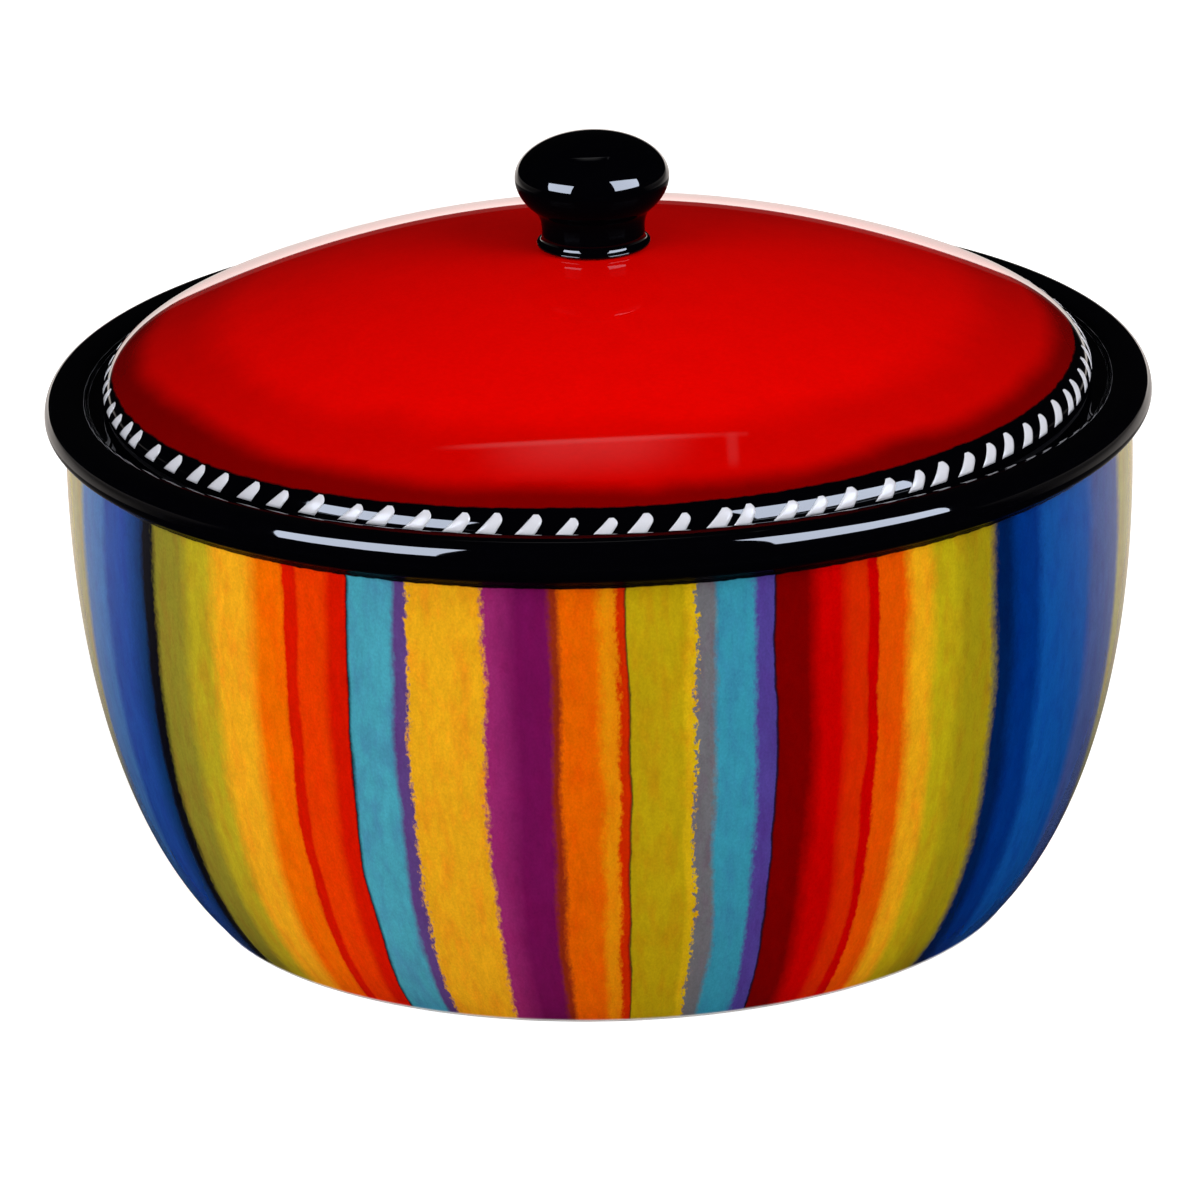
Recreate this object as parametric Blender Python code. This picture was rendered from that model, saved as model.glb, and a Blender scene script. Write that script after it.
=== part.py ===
"""Bean pot of glazed ceramic: a bowl with a rolled rim, a domed lid and a knob.

Units are metres, +Z is up, and the pot's foot stands on z = 0 with its axis on the origin.
Each piece is a body of revolution. Its outline is drawn in the XZ plane, from the axis on
the inside, over the top, down the outer side and back to the axis underneath, and a Screw
modifier turns it round Z.
"""

import math

import bpy
from mathutils import Vector

# Pot, outside
RIM_RADIUS = 0.1400          # outermost reach of the rolled rim
RIM_HEIGHT = 0.1354          # top of the rolled rim above the table
ROLL_RADIUS = 0.0050         # section radius of the roll, top and outer side
ROLL_DROP = 0.0036           # depth of the roll below its widest line
ROLL_UNDERCUT_ANGLE = 60.0   # degrees round the roll's underside before the cove starts
ROLL_COVE = 0.0016           # height of the cove where the roll runs into the wall
RIM_OVERHANG = 0.0051        # how far the roll stands out from the wall
BELLY_SWELL = 0.0010         # how far the belly pulls out beyond the wall's top
BELLY_CORNER_HEIGHT = 0.0306  # height of the corner that the belly curve rounds off
FOOT_RADIUS = 0.1024         # outer radius of the foot
FOOT_RISE_ANGLE = 56.0       # degrees above the table at which the belly leaves the foot
FOOT_RISE_PULL = 0.0037      # length of the belly curve's first handle
FOOT_BEVEL = 0.0007          # rounding of the foot's outer and inner edge
FOOT_WIDTH = 0.0070          # width of the ring that stands on the table
FOOT_RECESS = 0.0030         # height of the hollow inside the foot ring

# Pot, inside
WALL_THICKNESS = 0.0060
FLOOR_THICKNESS = 0.0065
FLOOR_FILLET = 0.0120        # how far the floor's sweep into the wall reaches
GALLERY_DEPTH = 0.0024       # from the top of the roll down to the ledge
GALLERY_COVE = 0.0008        # cove between the roll's inner side and the ledge
LEDGE_WIDTH = 0.0116         # from the roll's inner side to the mouth
LEDGE_THICKNESS = 0.0055
LEDGE_HAUNCH = 0.0090        # height of the slope that carries the ledge on the wall
MOUTH_EDGE = 0.0012          # rounding of the ledge's inner edges

# Lid
SEAT_GAP = 0.0003            # between two faces that rest on each other
LID_PLAY = 0.0044            # between the lid's edge and the roll's inner side
LID_EDGE_ROUNDING = 0.0017   # rounding of the lid's lower outer edge
LID_BORDER_RISE = 0.0069     # height of the rounded border band
LID_BORDER_RUN = 0.0041      # width of the border band, seen from above
DOME_RISE = 0.0298           # height of the dome above the border band
DOME_POWER = 2.03            # 2 gives a parabola, more gives a flatter crown
LID_THICKNESS = 0.0060
FLANGE_PLAY = 0.0020         # between the locating flange and the mouth
FLANGE_THICKNESS = 0.0050
FLANGE_DEPTH = 0.0090        # reach of the locating flange below the seat
FLANGE_ROUNDING = 0.0015     # rounding of the flange's lower edges
FLANGE_FILLET = 0.0040       # sweep of the flange into the lid's underside

# Knob
KNOB_BASE_RADIUS = 0.0143
KNOB_NECK_RADIUS = 0.0130
KNOB_HEAD_RADIUS = 0.0195
KNOB_BASE_FLARE = 0.0022     # height of the flare from the base to the neck
KNOB_BASE_EDGE = 0.0008      # height of the base's outer face below the flare
KNOB_HEAD_HEIGHT = 0.01735   # from the lid's crown up to the head's widest line
KNOB_CROWN_RISE = 0.0108     # from the head's widest line up to its top
KNOB_HEAD_DROP = 0.0125      # depth of the head's lower half, were it a whole ellipse
KNOB_THROAT_ANGLE = 38.0     # degrees below the widest line at which the throat starts
KNOB_THROAT = 0.0040         # height of the throat between the head and the neck

# Facets round each piece
POT_SEGMENTS = 64
LID_SEGMENTS = 64
KNOB_SEGMENTS = 40

# Points along each stretch of an outline
EDGE_POINTS = 3
FILLET_POINTS = 4
SWEEP_POINTS = 5
ROLL_POINTS = 6
HEAD_POINTS = 8
WALL_POINTS = 12
DOME_POINTS = 11
DOME_UNDER_STEPS = 6
INNER_WALL_STEPS = 5
FINE_POINTS = 40             # on a curve that is only measured, not turned
STEP_GROWTH = 1.3            # steps widen by this power where a curve flattens

# Places that follow from the sizes above
ROLL_CENTRE = Vector((RIM_RADIUS - ROLL_RADIUS, RIM_HEIGHT - ROLL_RADIUS))
WALL_RADIUS = RIM_RADIUS - RIM_OVERHANG
LEDGE_HEIGHT = RIM_HEIGHT - GALLERY_DEPTH
GALLERY_RADIUS = RIM_RADIUS - 2.0 * ROLL_RADIUS
MOUTH_RADIUS = GALLERY_RADIUS - LEDGE_WIDTH
FLOOR_HEIGHT = FOOT_RECESS + FLOOR_THICKNESS
LID_SEAT_HEIGHT = LEDGE_HEIGHT + SEAT_GAP
LID_RADIUS = GALLERY_RADIUS - LID_PLAY
BORDER_FOOT_HEIGHT = LID_SEAT_HEIGHT + LID_EDGE_ROUNDING
DOME_RADIUS = LID_RADIUS - LID_BORDER_RUN
DOME_FOOT_HEIGHT = BORDER_FOOT_HEIGHT + LID_BORDER_RISE
FLANGE_RADIUS = MOUTH_RADIUS - FLANGE_PLAY


def clear_scene():
    """Remove every object that the file holds."""
    for item in list(bpy.data.objects):
        bpy.data.objects.remove(item, do_unlink=True)


def make_material(name, colour, roughness):
    """Return a glazed ceramic material of one colour."""
    material = bpy.data.materials.new(name)
    material.use_nodes = True
    shader = material.node_tree.nodes["Principled BSDF"]
    shader.inputs["Base Color"].default_value = (*colour, 1.0)
    shader.inputs["Roughness"].default_value = roughness
    shader.inputs["Metallic"].default_value = 0.0
    material.diffuse_color = (*colour, 1.0)
    return material


def arc(centre, radius_r, radius_z, start, end, count):
    """Points on an ellipse round centre, from the angle start to end in degrees."""
    points = []
    for i in range(count):
        angle = math.radians(start + (end - start) * i / (count - 1))
        offset = Vector((radius_r * math.cos(angle), radius_z * math.sin(angle)))
        points.append(centre + offset)
    return points


def arc_heading(radius_r, radius_z, angle, turning):
    """Unit direction along an ellipse at an angle, turning +1 or -1 way round."""
    angle = math.radians(angle)
    heading = Vector((-radius_r * math.sin(angle), radius_z * math.cos(angle)))
    return (turning * heading).normalized()


def bezier(start, handle_a, handle_b, end, count):
    """Points on a cubic curve from start to end with two handles."""
    points = []
    for i in range(count):
        t = i / (count - 1)
        s = 1.0 - t
        points.append(s ** 3 * start + 3.0 * s * s * t * handle_a
                      + 3.0 * s * t * t * handle_b + t ** 3 * end)
    return points


def sweep(start, corner, end, count):
    """Points on a quadratic curve that rounds a corner from start to end."""
    points = []
    for i in range(count):
        t = i / (count - 1)
        s = 1.0 - t
        points.append(s * s * start + 2.0 * s * t * corner + t * t * end)
    return points


def offset_inwards(points, distance):
    """Shift an outline that climbs its outer side towards the axis by a distance."""
    shifted = []
    last = len(points) - 1
    for i, point in enumerate(points):
        along = (points[min(i + 1, last)] - points[max(i - 1, 0)]).normalized()
        shifted.append(point + distance * Vector((-along.y, along.x)))
    return shifted


def crossing(points, height):
    """The place where a climbing outline passes a height."""
    for lower, upper in zip(points, points[1:]):
        if lower.y <= height <= upper.y:
            share = (height - lower.y) / (upper.y - lower.y)
            return lower.lerp(upper, share)
    raise ValueError("the outline does not reach that height")


def belly_curve(count):
    """The pot's outer wall from the foot up to the cove under the roll."""
    rise = math.radians(FOOT_RISE_ANGLE)
    foot = Vector((FOOT_RADIUS, FOOT_BEVEL))
    foot_handle = foot + FOOT_RISE_PULL * Vector((math.cos(rise), math.sin(rise)))
    corner = Vector((WALL_RADIUS + BELLY_SWELL, BELLY_CORNER_HEIGHT))
    return bezier(foot, foot_handle, corner, roll_underside()[-1], count)


def roll_underside():
    """The roll's lower side from its widest line to the top of the wall."""
    under = arc(ROLL_CENTRE, ROLL_RADIUS, ROLL_DROP,
                0.0, -ROLL_UNDERCUT_ANGLE, FILLET_POINTS)
    heading = arc_heading(ROLL_RADIUS, ROLL_DROP, -ROLL_UNDERCUT_ANGLE, -1.0)
    leave = under[-1]
    steps = (leave.x - WALL_RADIUS) / -heading.x
    corner = leave + steps * heading
    wall_top = corner - Vector((0.0, ROLL_COVE))
    return under[1:] + sweep(leave, corner, wall_top, FILLET_POINTS)[1:]


def gallery():
    """The ledge and the roll's inner side, from the mouth up to the top of the roll."""
    edge_lower = Vector((MOUTH_RADIUS, LEDGE_HEIGHT - MOUTH_EDGE))
    edge_corner = Vector((MOUTH_RADIUS, LEDGE_HEIGHT))
    edge_upper = Vector((MOUTH_RADIUS + MOUTH_EDGE, LEDGE_HEIGHT))
    mouth_edge = sweep(edge_lower, edge_corner, edge_upper, EDGE_POINTS)
    cove_top = LEDGE_HEIGHT + GALLERY_COVE
    climb = max((cove_top - ROLL_CENTRE.y) / ROLL_RADIUS, 0.0)
    leave_angle = 180.0 - math.degrees(math.asin(climb))
    roll_inner = arc(ROLL_CENTRE, ROLL_RADIUS, ROLL_RADIUS,
                     leave_angle, 90.0, FILLET_POINTS)
    heading = arc_heading(ROLL_RADIUS, ROLL_RADIUS, leave_angle, 1.0)
    cove_start = Vector((roll_inner[0].x, cove_top))
    corner = cove_start + (GALLERY_COVE / -heading.y) * heading
    ledge_end = corner - Vector((GALLERY_COVE, 0.0))
    cove = sweep(ledge_end, corner, cove_start, EDGE_POINTS)
    return mouth_edge + cove + roll_inner[1:]


def ledge_underside(inner_wall_radius):
    """The slope under the ledge, from the inner wall up to the mouth's face."""
    under_height = LEDGE_HEIGHT - LEDGE_THICKNESS
    wall_end = Vector((inner_wall_radius, under_height - LEDGE_HAUNCH))
    edge_outer = Vector((MOUTH_RADIUS + MOUTH_EDGE, under_height))
    edge_corner = Vector((MOUTH_RADIUS, under_height))
    edge_upper = Vector((MOUTH_RADIUS, under_height + MOUTH_EDGE))
    reach = (wall_end.y + edge_outer.y) / 2.0
    haunch_corner = Vector((inner_wall_radius, reach))
    haunch = sweep(wall_end, haunch_corner, edge_outer, FILLET_POINTS)
    return haunch + sweep(edge_outer, edge_corner, edge_upper, EDGE_POINTS)[1:]


def pot_outline():
    """The pot's section: floor, inner wall, gallery, roll, belly, foot and recess."""
    inner_wall_radius = WALL_RADIUS - WALL_THICKNESS
    haunch = ledge_underside(inner_wall_radius)
    inner = offset_inwards(belly_curve(FINE_POINTS), WALL_THICKNESS)
    sweep_top = crossing(inner, FLOOR_HEIGHT + FLOOR_FILLET)
    corner = crossing(inner, FLOOR_HEIGHT)
    sweep_start = corner - Vector((FLOOR_FILLET, 0.0))
    outline = [Vector((0.0, FLOOR_HEIGHT))]
    outline += sweep(sweep_start, corner, sweep_top, SWEEP_POINTS)
    rise = haunch[0].y - sweep_top.y
    for i in range(1, INNER_WALL_STEPS):
        share = (i / INNER_WALL_STEPS) ** STEP_GROWTH
        outline.append(crossing(inner, sweep_top.y + share * rise))
    outline += haunch
    outline += gallery()
    outline += arc(ROLL_CENTRE, ROLL_RADIUS, ROLL_RADIUS, 90.0, 0.0, ROLL_POINTS)[1:]
    outline += roll_underside()
    outline += reversed(belly_curve(WALL_POINTS)[:-1])
    foot_inner = FOOT_RADIUS - FOOT_WIDTH
    outline.append(Vector((FOOT_RADIUS - FOOT_BEVEL, 0.0)))
    outline.append(Vector((foot_inner + FOOT_BEVEL, 0.0)))
    outline.append(Vector((foot_inner, FOOT_BEVEL)))
    outline.append(Vector((foot_inner - FOOT_RECESS, FOOT_RECESS)))
    outline.append(Vector((0.0, FOOT_RECESS)))
    return outline


def dome_height(radius):
    """Height of the lid's dome at a radius."""
    return DOME_FOOT_HEIGHT + DOME_RISE * (1.0 - (radius / DOME_RADIUS) ** DOME_POWER)


def dome_slope(radius):
    """How steeply the dome falls outwards at a radius."""
    share = radius / DOME_RADIUS
    return DOME_RISE * DOME_POWER / DOME_RADIUS * share ** (DOME_POWER - 1.0)


def dome_curve(count):
    """The dome's upper side from the border band to the crown, wider steps at the crown."""
    points = []
    for i in range(count):
        radius = DOME_RADIUS * (1.0 - (i / (count - 1)) ** STEP_GROWTH)
        points.append(Vector((radius, dome_height(radius))))
    return points


def dome_underside(radius):
    """The place on the lid's underside square under the dome's place at a radius."""
    normal = Vector((dome_slope(radius), 1.0)).normalized()
    return Vector((radius, dome_height(radius))) - LID_THICKNESS * normal


def border_curve(count):
    """The rounded border band from the dome down to the lid's widest line."""
    top = Vector((DOME_RADIUS, DOME_FOOT_HEIGHT))
    drop = dome_slope(DOME_RADIUS) * LID_BORDER_RUN
    corner = Vector((LID_RADIUS, DOME_FOOT_HEIGHT - drop))
    return sweep(top, corner, Vector((LID_RADIUS, BORDER_FOOT_HEIGHT)), count)


def flange_curve():
    """The locating flange, from the lid's underside down, round and up to the seat."""
    inner_radius = FLANGE_RADIUS - FLANGE_THICKNESS
    fillet_radius = inner_radius - FLANGE_FILLET
    fillet_end = dome_underside(fillet_radius)
    drop = dome_slope(fillet_radius) * (inner_radius - fillet_end.x)
    corner = Vector((inner_radius, fillet_end.y - drop))
    points = sweep(fillet_end, corner, corner - Vector((0.0, FLANGE_FILLET)), FILLET_POINTS)
    down = Vector((0.0, FLANGE_ROUNDING))
    across = Vector((FLANGE_ROUNDING, 0.0))
    inner_foot = Vector((inner_radius, LID_SEAT_HEIGHT - FLANGE_DEPTH))
    outer_foot = Vector((FLANGE_RADIUS, LID_SEAT_HEIGHT - FLANGE_DEPTH))
    seat_corner = Vector((FLANGE_RADIUS, LID_SEAT_HEIGHT))
    points += sweep(inner_foot + down, inner_foot, inner_foot + across, EDGE_POINTS)
    points += sweep(outer_foot - across, outer_foot, outer_foot + down, EDGE_POINTS)
    return points + [seat_corner - down, seat_corner + across]


def lid_outline():
    """The lid's section: dome, border band, seat, locating flange and underside."""
    edge_centre = Vector((LID_RADIUS - LID_EDGE_ROUNDING, BORDER_FOOT_HEIGHT))
    edge = arc(edge_centre, LID_EDGE_ROUNDING, LID_EDGE_ROUNDING, 0.0, -90.0, FILLET_POINTS)
    flange = flange_curve()
    outline = list(reversed(dome_curve(DOME_POINTS)))
    outline += border_curve(ROLL_POINTS)[1:]
    outline += edge[1:]
    outline += reversed(flange)
    fillet_radius = FLANGE_RADIUS - FLANGE_THICKNESS - FLANGE_FILLET
    for i in range(1, DOME_UNDER_STEPS):
        outline.append(dome_underside(fillet_radius * (1.0 - i / DOME_UNDER_STEPS)))
    outline.append(dome_underside(0.0))
    return outline


def knob_outline():
    """The knob's section: crown, head, throat, neck, flared base and hollowed seat."""
    crown = dome_height(0.0) + SEAT_GAP
    centre = Vector((0.0, crown + KNOB_HEAD_HEIGHT))
    outline = arc(centre, KNOB_HEAD_RADIUS, KNOB_CROWN_RISE, 90.0, 0.0, HEAD_POINTS)
    outline[0] = Vector((0.0, centre.y + KNOB_CROWN_RISE))
    lower = arc(centre, KNOB_HEAD_RADIUS, KNOB_HEAD_DROP,
                0.0, -KNOB_THROAT_ANGLE, SWEEP_POINTS)
    heading = arc_heading(KNOB_HEAD_RADIUS, KNOB_HEAD_DROP, -KNOB_THROAT_ANGLE, -1.0)
    leave = lower[-1]
    corner = leave + ((leave.x - KNOB_NECK_RADIUS) / -heading.x) * heading
    outline += lower[1:]
    throat_end = corner - Vector((0.0, KNOB_THROAT))
    outline += sweep(leave, corner, throat_end, SWEEP_POINTS)[1:]
    base_height = dome_height(KNOB_BASE_RADIUS) + SEAT_GAP
    flare_foot = Vector((KNOB_BASE_RADIUS, base_height + KNOB_BASE_EDGE))
    flare_top = Vector((KNOB_NECK_RADIUS, flare_foot.y + KNOB_BASE_FLARE))
    flare_corner = Vector((KNOB_NECK_RADIUS, flare_foot.y))
    outline += sweep(flare_top, flare_corner, flare_foot, FILLET_POINTS)
    for radius in (KNOB_BASE_RADIUS, KNOB_BASE_RADIUS / 2.0):
        outline.append(Vector((radius, dome_height(radius) + SEAT_GAP)))
    outline.append(Vector((0.0, crown)))
    return outline


def turn(name, outline, segments, material):
    """Make an object by turning an outline a full circle round Z."""
    mesh = bpy.data.meshes.new(name)
    vertices = [(point.x, 0.0, point.y) for point in outline]
    edges = [(i, i + 1) for i in range(len(outline) - 1)]
    mesh.from_pydata(vertices, edges, [])
    mesh.materials.append(material)
    piece = bpy.data.objects.new(name, mesh)
    bpy.context.scene.collection.objects.link(piece)
    screw = piece.modifiers.new("Turn", "SCREW")
    screw.axis = "Z"
    screw.angle = math.tau
    screw.steps = segments
    screw.render_steps = segments
    screw.use_merge_vertices = True
    screw.merge_threshold = 0.00005
    screw.use_smooth_shade = True
    return piece


def make_pot():
    """The bowl with its foot, its rolled rim and the gallery that the lid rests in."""
    glaze = make_material("striped_glaze", (0.72, 0.30, 0.06), 0.12)
    return turn("pot", pot_outline(), POT_SEGMENTS, glaze)


def make_lid():
    """The domed lid, with its origin on the axis at the height of its seat."""
    glaze = make_material("red_glaze", (0.68, 0.01, 0.01), 0.12)
    outline = [point - Vector((0.0, LID_SEAT_HEIGHT)) for point in lid_outline()]
    lid = turn("lid", outline, LID_SEGMENTS, glaze)
    lid.location.z = LID_SEAT_HEIGHT
    return lid


def make_knob(lid):
    """The knob, carried by the lid, with its origin at the lid's crown."""
    glaze = make_material("black_glaze", (0.008, 0.008, 0.010), 0.08)
    crown = dome_height(0.0)
    outline = [point - Vector((0.0, crown)) for point in knob_outline()]
    knob = turn("knob", outline, KNOB_SEGMENTS, glaze)
    knob.parent = lid
    knob.location.z = crown - LID_SEAT_HEIGHT
    return knob


def main():
    """Build the bean pot."""
    clear_scene()
    make_pot()
    lid = make_lid()
    make_knob(lid)


main()
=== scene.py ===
"""Studio look of the glazed bean pot: fine turned surfaces, glazes, floor, lamps and camera.

Units are metres, +Z is up, the pot stands on z = 0 with its axis on the origin, and the
photographed side faces -Y. Angles round the pot count from there, positive towards +X.
"""

import math

import bpy
import numpy as np
from bpy.props import FloatProperty, FloatVectorProperty, IntProperty, PointerProperty
from bpy.types import Operator, Panel, PropertyGroup
from mathutils import Matrix, Vector


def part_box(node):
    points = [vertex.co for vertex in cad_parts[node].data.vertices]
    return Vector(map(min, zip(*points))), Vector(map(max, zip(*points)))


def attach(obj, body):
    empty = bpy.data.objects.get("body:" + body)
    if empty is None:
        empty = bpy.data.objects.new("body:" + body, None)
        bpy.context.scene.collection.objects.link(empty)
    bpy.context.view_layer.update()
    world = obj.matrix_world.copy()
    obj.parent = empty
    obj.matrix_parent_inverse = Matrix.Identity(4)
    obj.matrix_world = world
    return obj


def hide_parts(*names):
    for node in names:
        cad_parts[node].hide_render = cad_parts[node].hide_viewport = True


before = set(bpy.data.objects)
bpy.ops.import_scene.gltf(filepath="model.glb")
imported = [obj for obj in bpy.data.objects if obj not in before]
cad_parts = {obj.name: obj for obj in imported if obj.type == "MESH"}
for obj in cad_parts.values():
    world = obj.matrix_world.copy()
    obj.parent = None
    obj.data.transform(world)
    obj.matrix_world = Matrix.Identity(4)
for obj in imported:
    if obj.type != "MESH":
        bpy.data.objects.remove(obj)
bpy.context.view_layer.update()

bl_info = {
    "name": "Glazed bean pot",
    "version": (1, 0, 0),
    "blender": (4, 5, 0),
    "location": "3D View > Sidebar > Bean Pot",
    "description": "Bean pot with brushed stripes, a domed red lid and a black knob",
    "category": "Object",
}

POT_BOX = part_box("pot")
LID_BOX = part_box("lid")
KNOB_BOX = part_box("knob")

LID_INSET = 0.0006       # the glazed lid's edge stands this far inside the CAD lid's
WALL_FACES = 320         # faces round the pot and the lid
KNOB_FACES = 128         # faces round the knob
TINY = 1e-6              # outline points closer than this are one
WALL_RADIUS = 0.128      # the wall's patterns are laid out at this radius
LID_CENTRE = (0.0, 0.0, 0.17)
SOFTBOX_DISTANCE = 1.5   # from the lid's centre
GLARE_LEAD = 0.01        # how far a softbox's mirrored lamp hangs in front of the other
PAPER_RADIUS = 12.0      # the white paper that the pot stands on
PAPER_DROP = 0.00005     # the paper lies this far under the foot, so they share no plane
ROOM_LEVEL = 0.004       # the dim room in reflections

# Each softbox: its name, azimuth and elevation from the lid, the way it shines, its roll
# in degrees, its width and its height
SOFTBOXES = (
    ("left softbox", -53.5, 21.3, (0.441, 0.727, -0.527), -2.65, 1.04, 0.77),
    ("right softbox", 61.8, 27.8, (-0.274, 0.894, -0.356), 5.45, 1.28, 0.83),
)


def to_linear(code):
    """Turn an sRGB hex colour into linear red, green and blue."""
    values = [int(code[i:i + 2], 16) / 255.0 for i in (1, 3, 5)]
    return tuple(v / 12.92 if v <= 0.04045 else ((v + 0.055) / 1.055) ** 2.4
                 for v in values)


def length(name, description, default):
    """A property that holds a length."""
    return FloatProperty(name=name, description=description, default=default,
                         unit="LENGTH", precision=5)


def colour(name, description, code):
    """A property that holds a colour."""
    return FloatVectorProperty(name=name, description=description, subtype="COLOR",
                               size=3, min=0.0, max=1.0, default=to_linear(code))


# Underglaze colours of the stripes
STRIPE_GLAZES = {
    "steel_blue": "#3A6FAE",
    "royal_blue": "#1F4A9C",
    "navy": "#0F3566",
    "ink": "#0A0A12",
    "dark_olive": "#8D8427",
    "olive": "#B7A41F",
    "gold": "#F0A91B",
    "orange": "#EE6A00",
    "scarlet": "#D21500",
    "vermilion": "#E53B00",
    "turquoise": "#47A0B4",
    "purple": "#5A3F7D",
    "golden_yellow": "#E8A818",
    "magenta": "#96286A",
    "dark_purple": "#6F0F50",
    "brown_red": "#8A2A10",
    "burnt_orange": "#E06000",
    "amber": "#E08A08",
    "rust_red": "#C82800",
    "olive_yellow": "#B59A0C",
    "mustard": "#D0AA10",
    "grey": "#6B6A6F",
    "deep_turquoise": "#3590A8",
    "violet": "#4D3D8C",
    "maroon": "#750000",
    "red": "#C00000",
    "warm_red": "#CC2800",
    "deep_orange": "#DC5000",
    "straw": "#E3A214",
    "moss_yellow": "#B3A010",
    "mottled_olive": "#9A8A10",
    "deep_navy": "#001C4C",
    "dark_blue": "#002E78",
    "blue": "#0A4C98",
    "slate_blue": "#3A4F88",
    "pale_olive": "#A39A55",
}

# Each stripe: the angle where it starts, its glaze, and how softly and how raggedly
# its first edge meets the stripe before it, all but the glaze in degrees
STRIPES = (
    (-178.0, "gold", 1.6, 0.11),
    (-173.5, "amber", 1.6, 0.17),
    (-169.0, "orange", 1.28, 0.17),
    (-164.0, "scarlet", 1.28, 0.11),
    (-160.5, "maroon", 1.6, 0.11),
    (-156.5, "ink", 0.13, 0.05),
    (-156.2, "violet", 0.13, 0.05),
    (-152.0, "deep_turquoise", 0.96, 0.22),
    (-146.5, "grey", 0.8, 0.22),
    (-144.5, "mustard", 0.48, 0.5),
    (-142.5, "olive_yellow", 1.28, 0.11),
    (-136.0, "rust_red", 0.48, 0.1),
    (-135.0, "amber", 0.96, 0.28),
    (-132.5, "burnt_orange", 1.6, 0.22),
    (-127.0, "brown_red", 0.8, 0.17),
    (-126.0, "dark_purple", 0.8, 0.17),
    (-120.5, "magenta", 0.8, 0.17),
    (-118.5, "golden_yellow", 0.48, 0.39),
    (-110.0, "purple", 0.48, 0.39),
    (-108.3, "turquoise", 0.64, 0.1),
    (-102.9, "ink", 0.13, 0.05),
    (-102.6, "scarlet", 0.13, 0.05),
    (-100.0, "vermilion", 1.28, 0.11),
    (-96.4, "scarlet", 0.96, 0.11),
    (-94.7, "orange", 1.28, 0.11),
    (-90.0, "gold", 1.92, 0.22),
    (-84.5, "olive", 1.92, 0.22),
    (-80.0, "pale_olive", 1.92, 0.22),
    (-75.0, "steel_blue", 1.6, 0.22),
    (-67.5, "royal_blue", 1.92, 0.22),
    (-61.0, "navy", 4.0, 0.22),
    (-57.6, "ink", 2.4, 0.28),
    (-56.6, "dark_olive", 2.4, 0.15),
    (-50.5, "olive", 1.92, 0.28),
    (-46.0, "gold", 1.92, 0.28),
    (-40.5, "orange", 2.24, 0.17),
    (-36.0, "scarlet", 0.3, 0.11),
    (-34.4, "vermilion", 0.3, 0.11),
    (-30.8, "scarlet", 1.12, 0.11),
    (-28.35, "ink", 0.13, 0.05),
    (-28.05, "turquoise", 0.2, 0.05),
    (-22.9, "purple", 0.64, 0.11),
    (-21.3, "golden_yellow", 0.26, 0.44),
    (-12.8, "magenta", 0.48, 0.39),
    (-10.6, "dark_purple", 3.0, 0.17),
    (-5.8, "brown_red", 0.64, 0.22),
    (-4.8, "burnt_orange", 0.64, 0.22),
    (-0.5, "amber", 1.12, 0.33),
    (1.3, "rust_red", 0.48, 0.28),
    (2.3, "ink", 0.13, 0.05),
    (2.5, "olive_yellow", 0.2, 0.05),
    (8.5, "mustard", 0.64, 0.17),
    (9.6, "grey", 0.26, 0.66),
    (11.7, "deep_turquoise", 0.64, 0.17),
    (16.2, "violet", 0.8, 0.28),
    (18.25, "ink", 0.13, 0.05),
    (18.5, "maroon", 0.2, 0.05),
    (22.7, "red", 1.92, 0.17),
    (26.5, "warm_red", 1.44, 0.11),
    (29.0, "red", 0.4, 0.11),
    (30.3, "deep_orange", 0.3, 0.17),
    (34.0, "straw", 1.6, 0.22),
    (37.2, "moss_yellow", 1.6, 0.22),
    (41.0, "mottled_olive", 1.92, 0.33),
    (46.2, "deep_navy", 1.5, 0.28),
    (49.5, "dark_blue", 1.92, 0.22),
    (54.3, "blue", 1.92, 0.22),
    (65.0, "slate_blue", 2.24, 0.22),
    (74.5, "pale_olive", 1.92, 0.22),
    (81.0, "olive", 1.92, 0.22),
    (86.0, "gold", 1.92, 0.22),
    (91.0, "orange", 1.6, 0.17),
    (95.5, "scarlet", 0.96, 0.11),
    (97.3, "vermilion", 0.96, 0.11),
    (101.0, "scarlet", 1.12, 0.11),
    (103.4, "ink", 0.13, 0.05),
    (103.7, "turquoise", 0.2, 0.05),
    (109.0, "purple", 0.64, 0.11),
    (110.8, "golden_yellow", 0.26, 0.44),
    (119.3, "magenta", 0.48, 0.39),
    (121.2, "dark_purple", 0.8, 0.17),
    (126.3, "brown_red", 0.64, 0.22),
    (127.4, "burnt_orange", 0.64, 0.22),
    (131.8, "amber", 1.12, 0.33),
    (133.8, "rust_red", 0.48, 0.28),
    (134.8, "ink", 0.13, 0.05),
    (135.1, "olive_yellow", 0.2, 0.05),
    (141.0, "mustard", 0.64, 0.17),
    (142.5, "grey", 0.26, 0.66),
    (145.0, "deep_turquoise", 0.64, 0.17),
    (150.5, "violet", 0.8, 0.28),
    (153.0, "ink", 0.13, 0.05),
    (153.3, "maroon", 0.2, 0.05),
    (157.8, "red", 1.92, 0.17),
    (161.6, "warm_red", 1.44, 0.11),
    (164.2, "deep_orange", 0.96, 0.17),
    (168.5, "straw", 1.6, 0.22),
    (172.0, "moss_yellow", 1.6, 0.22),
    (176.0, "mottled_olive", 1.92, 0.28),
)


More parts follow.
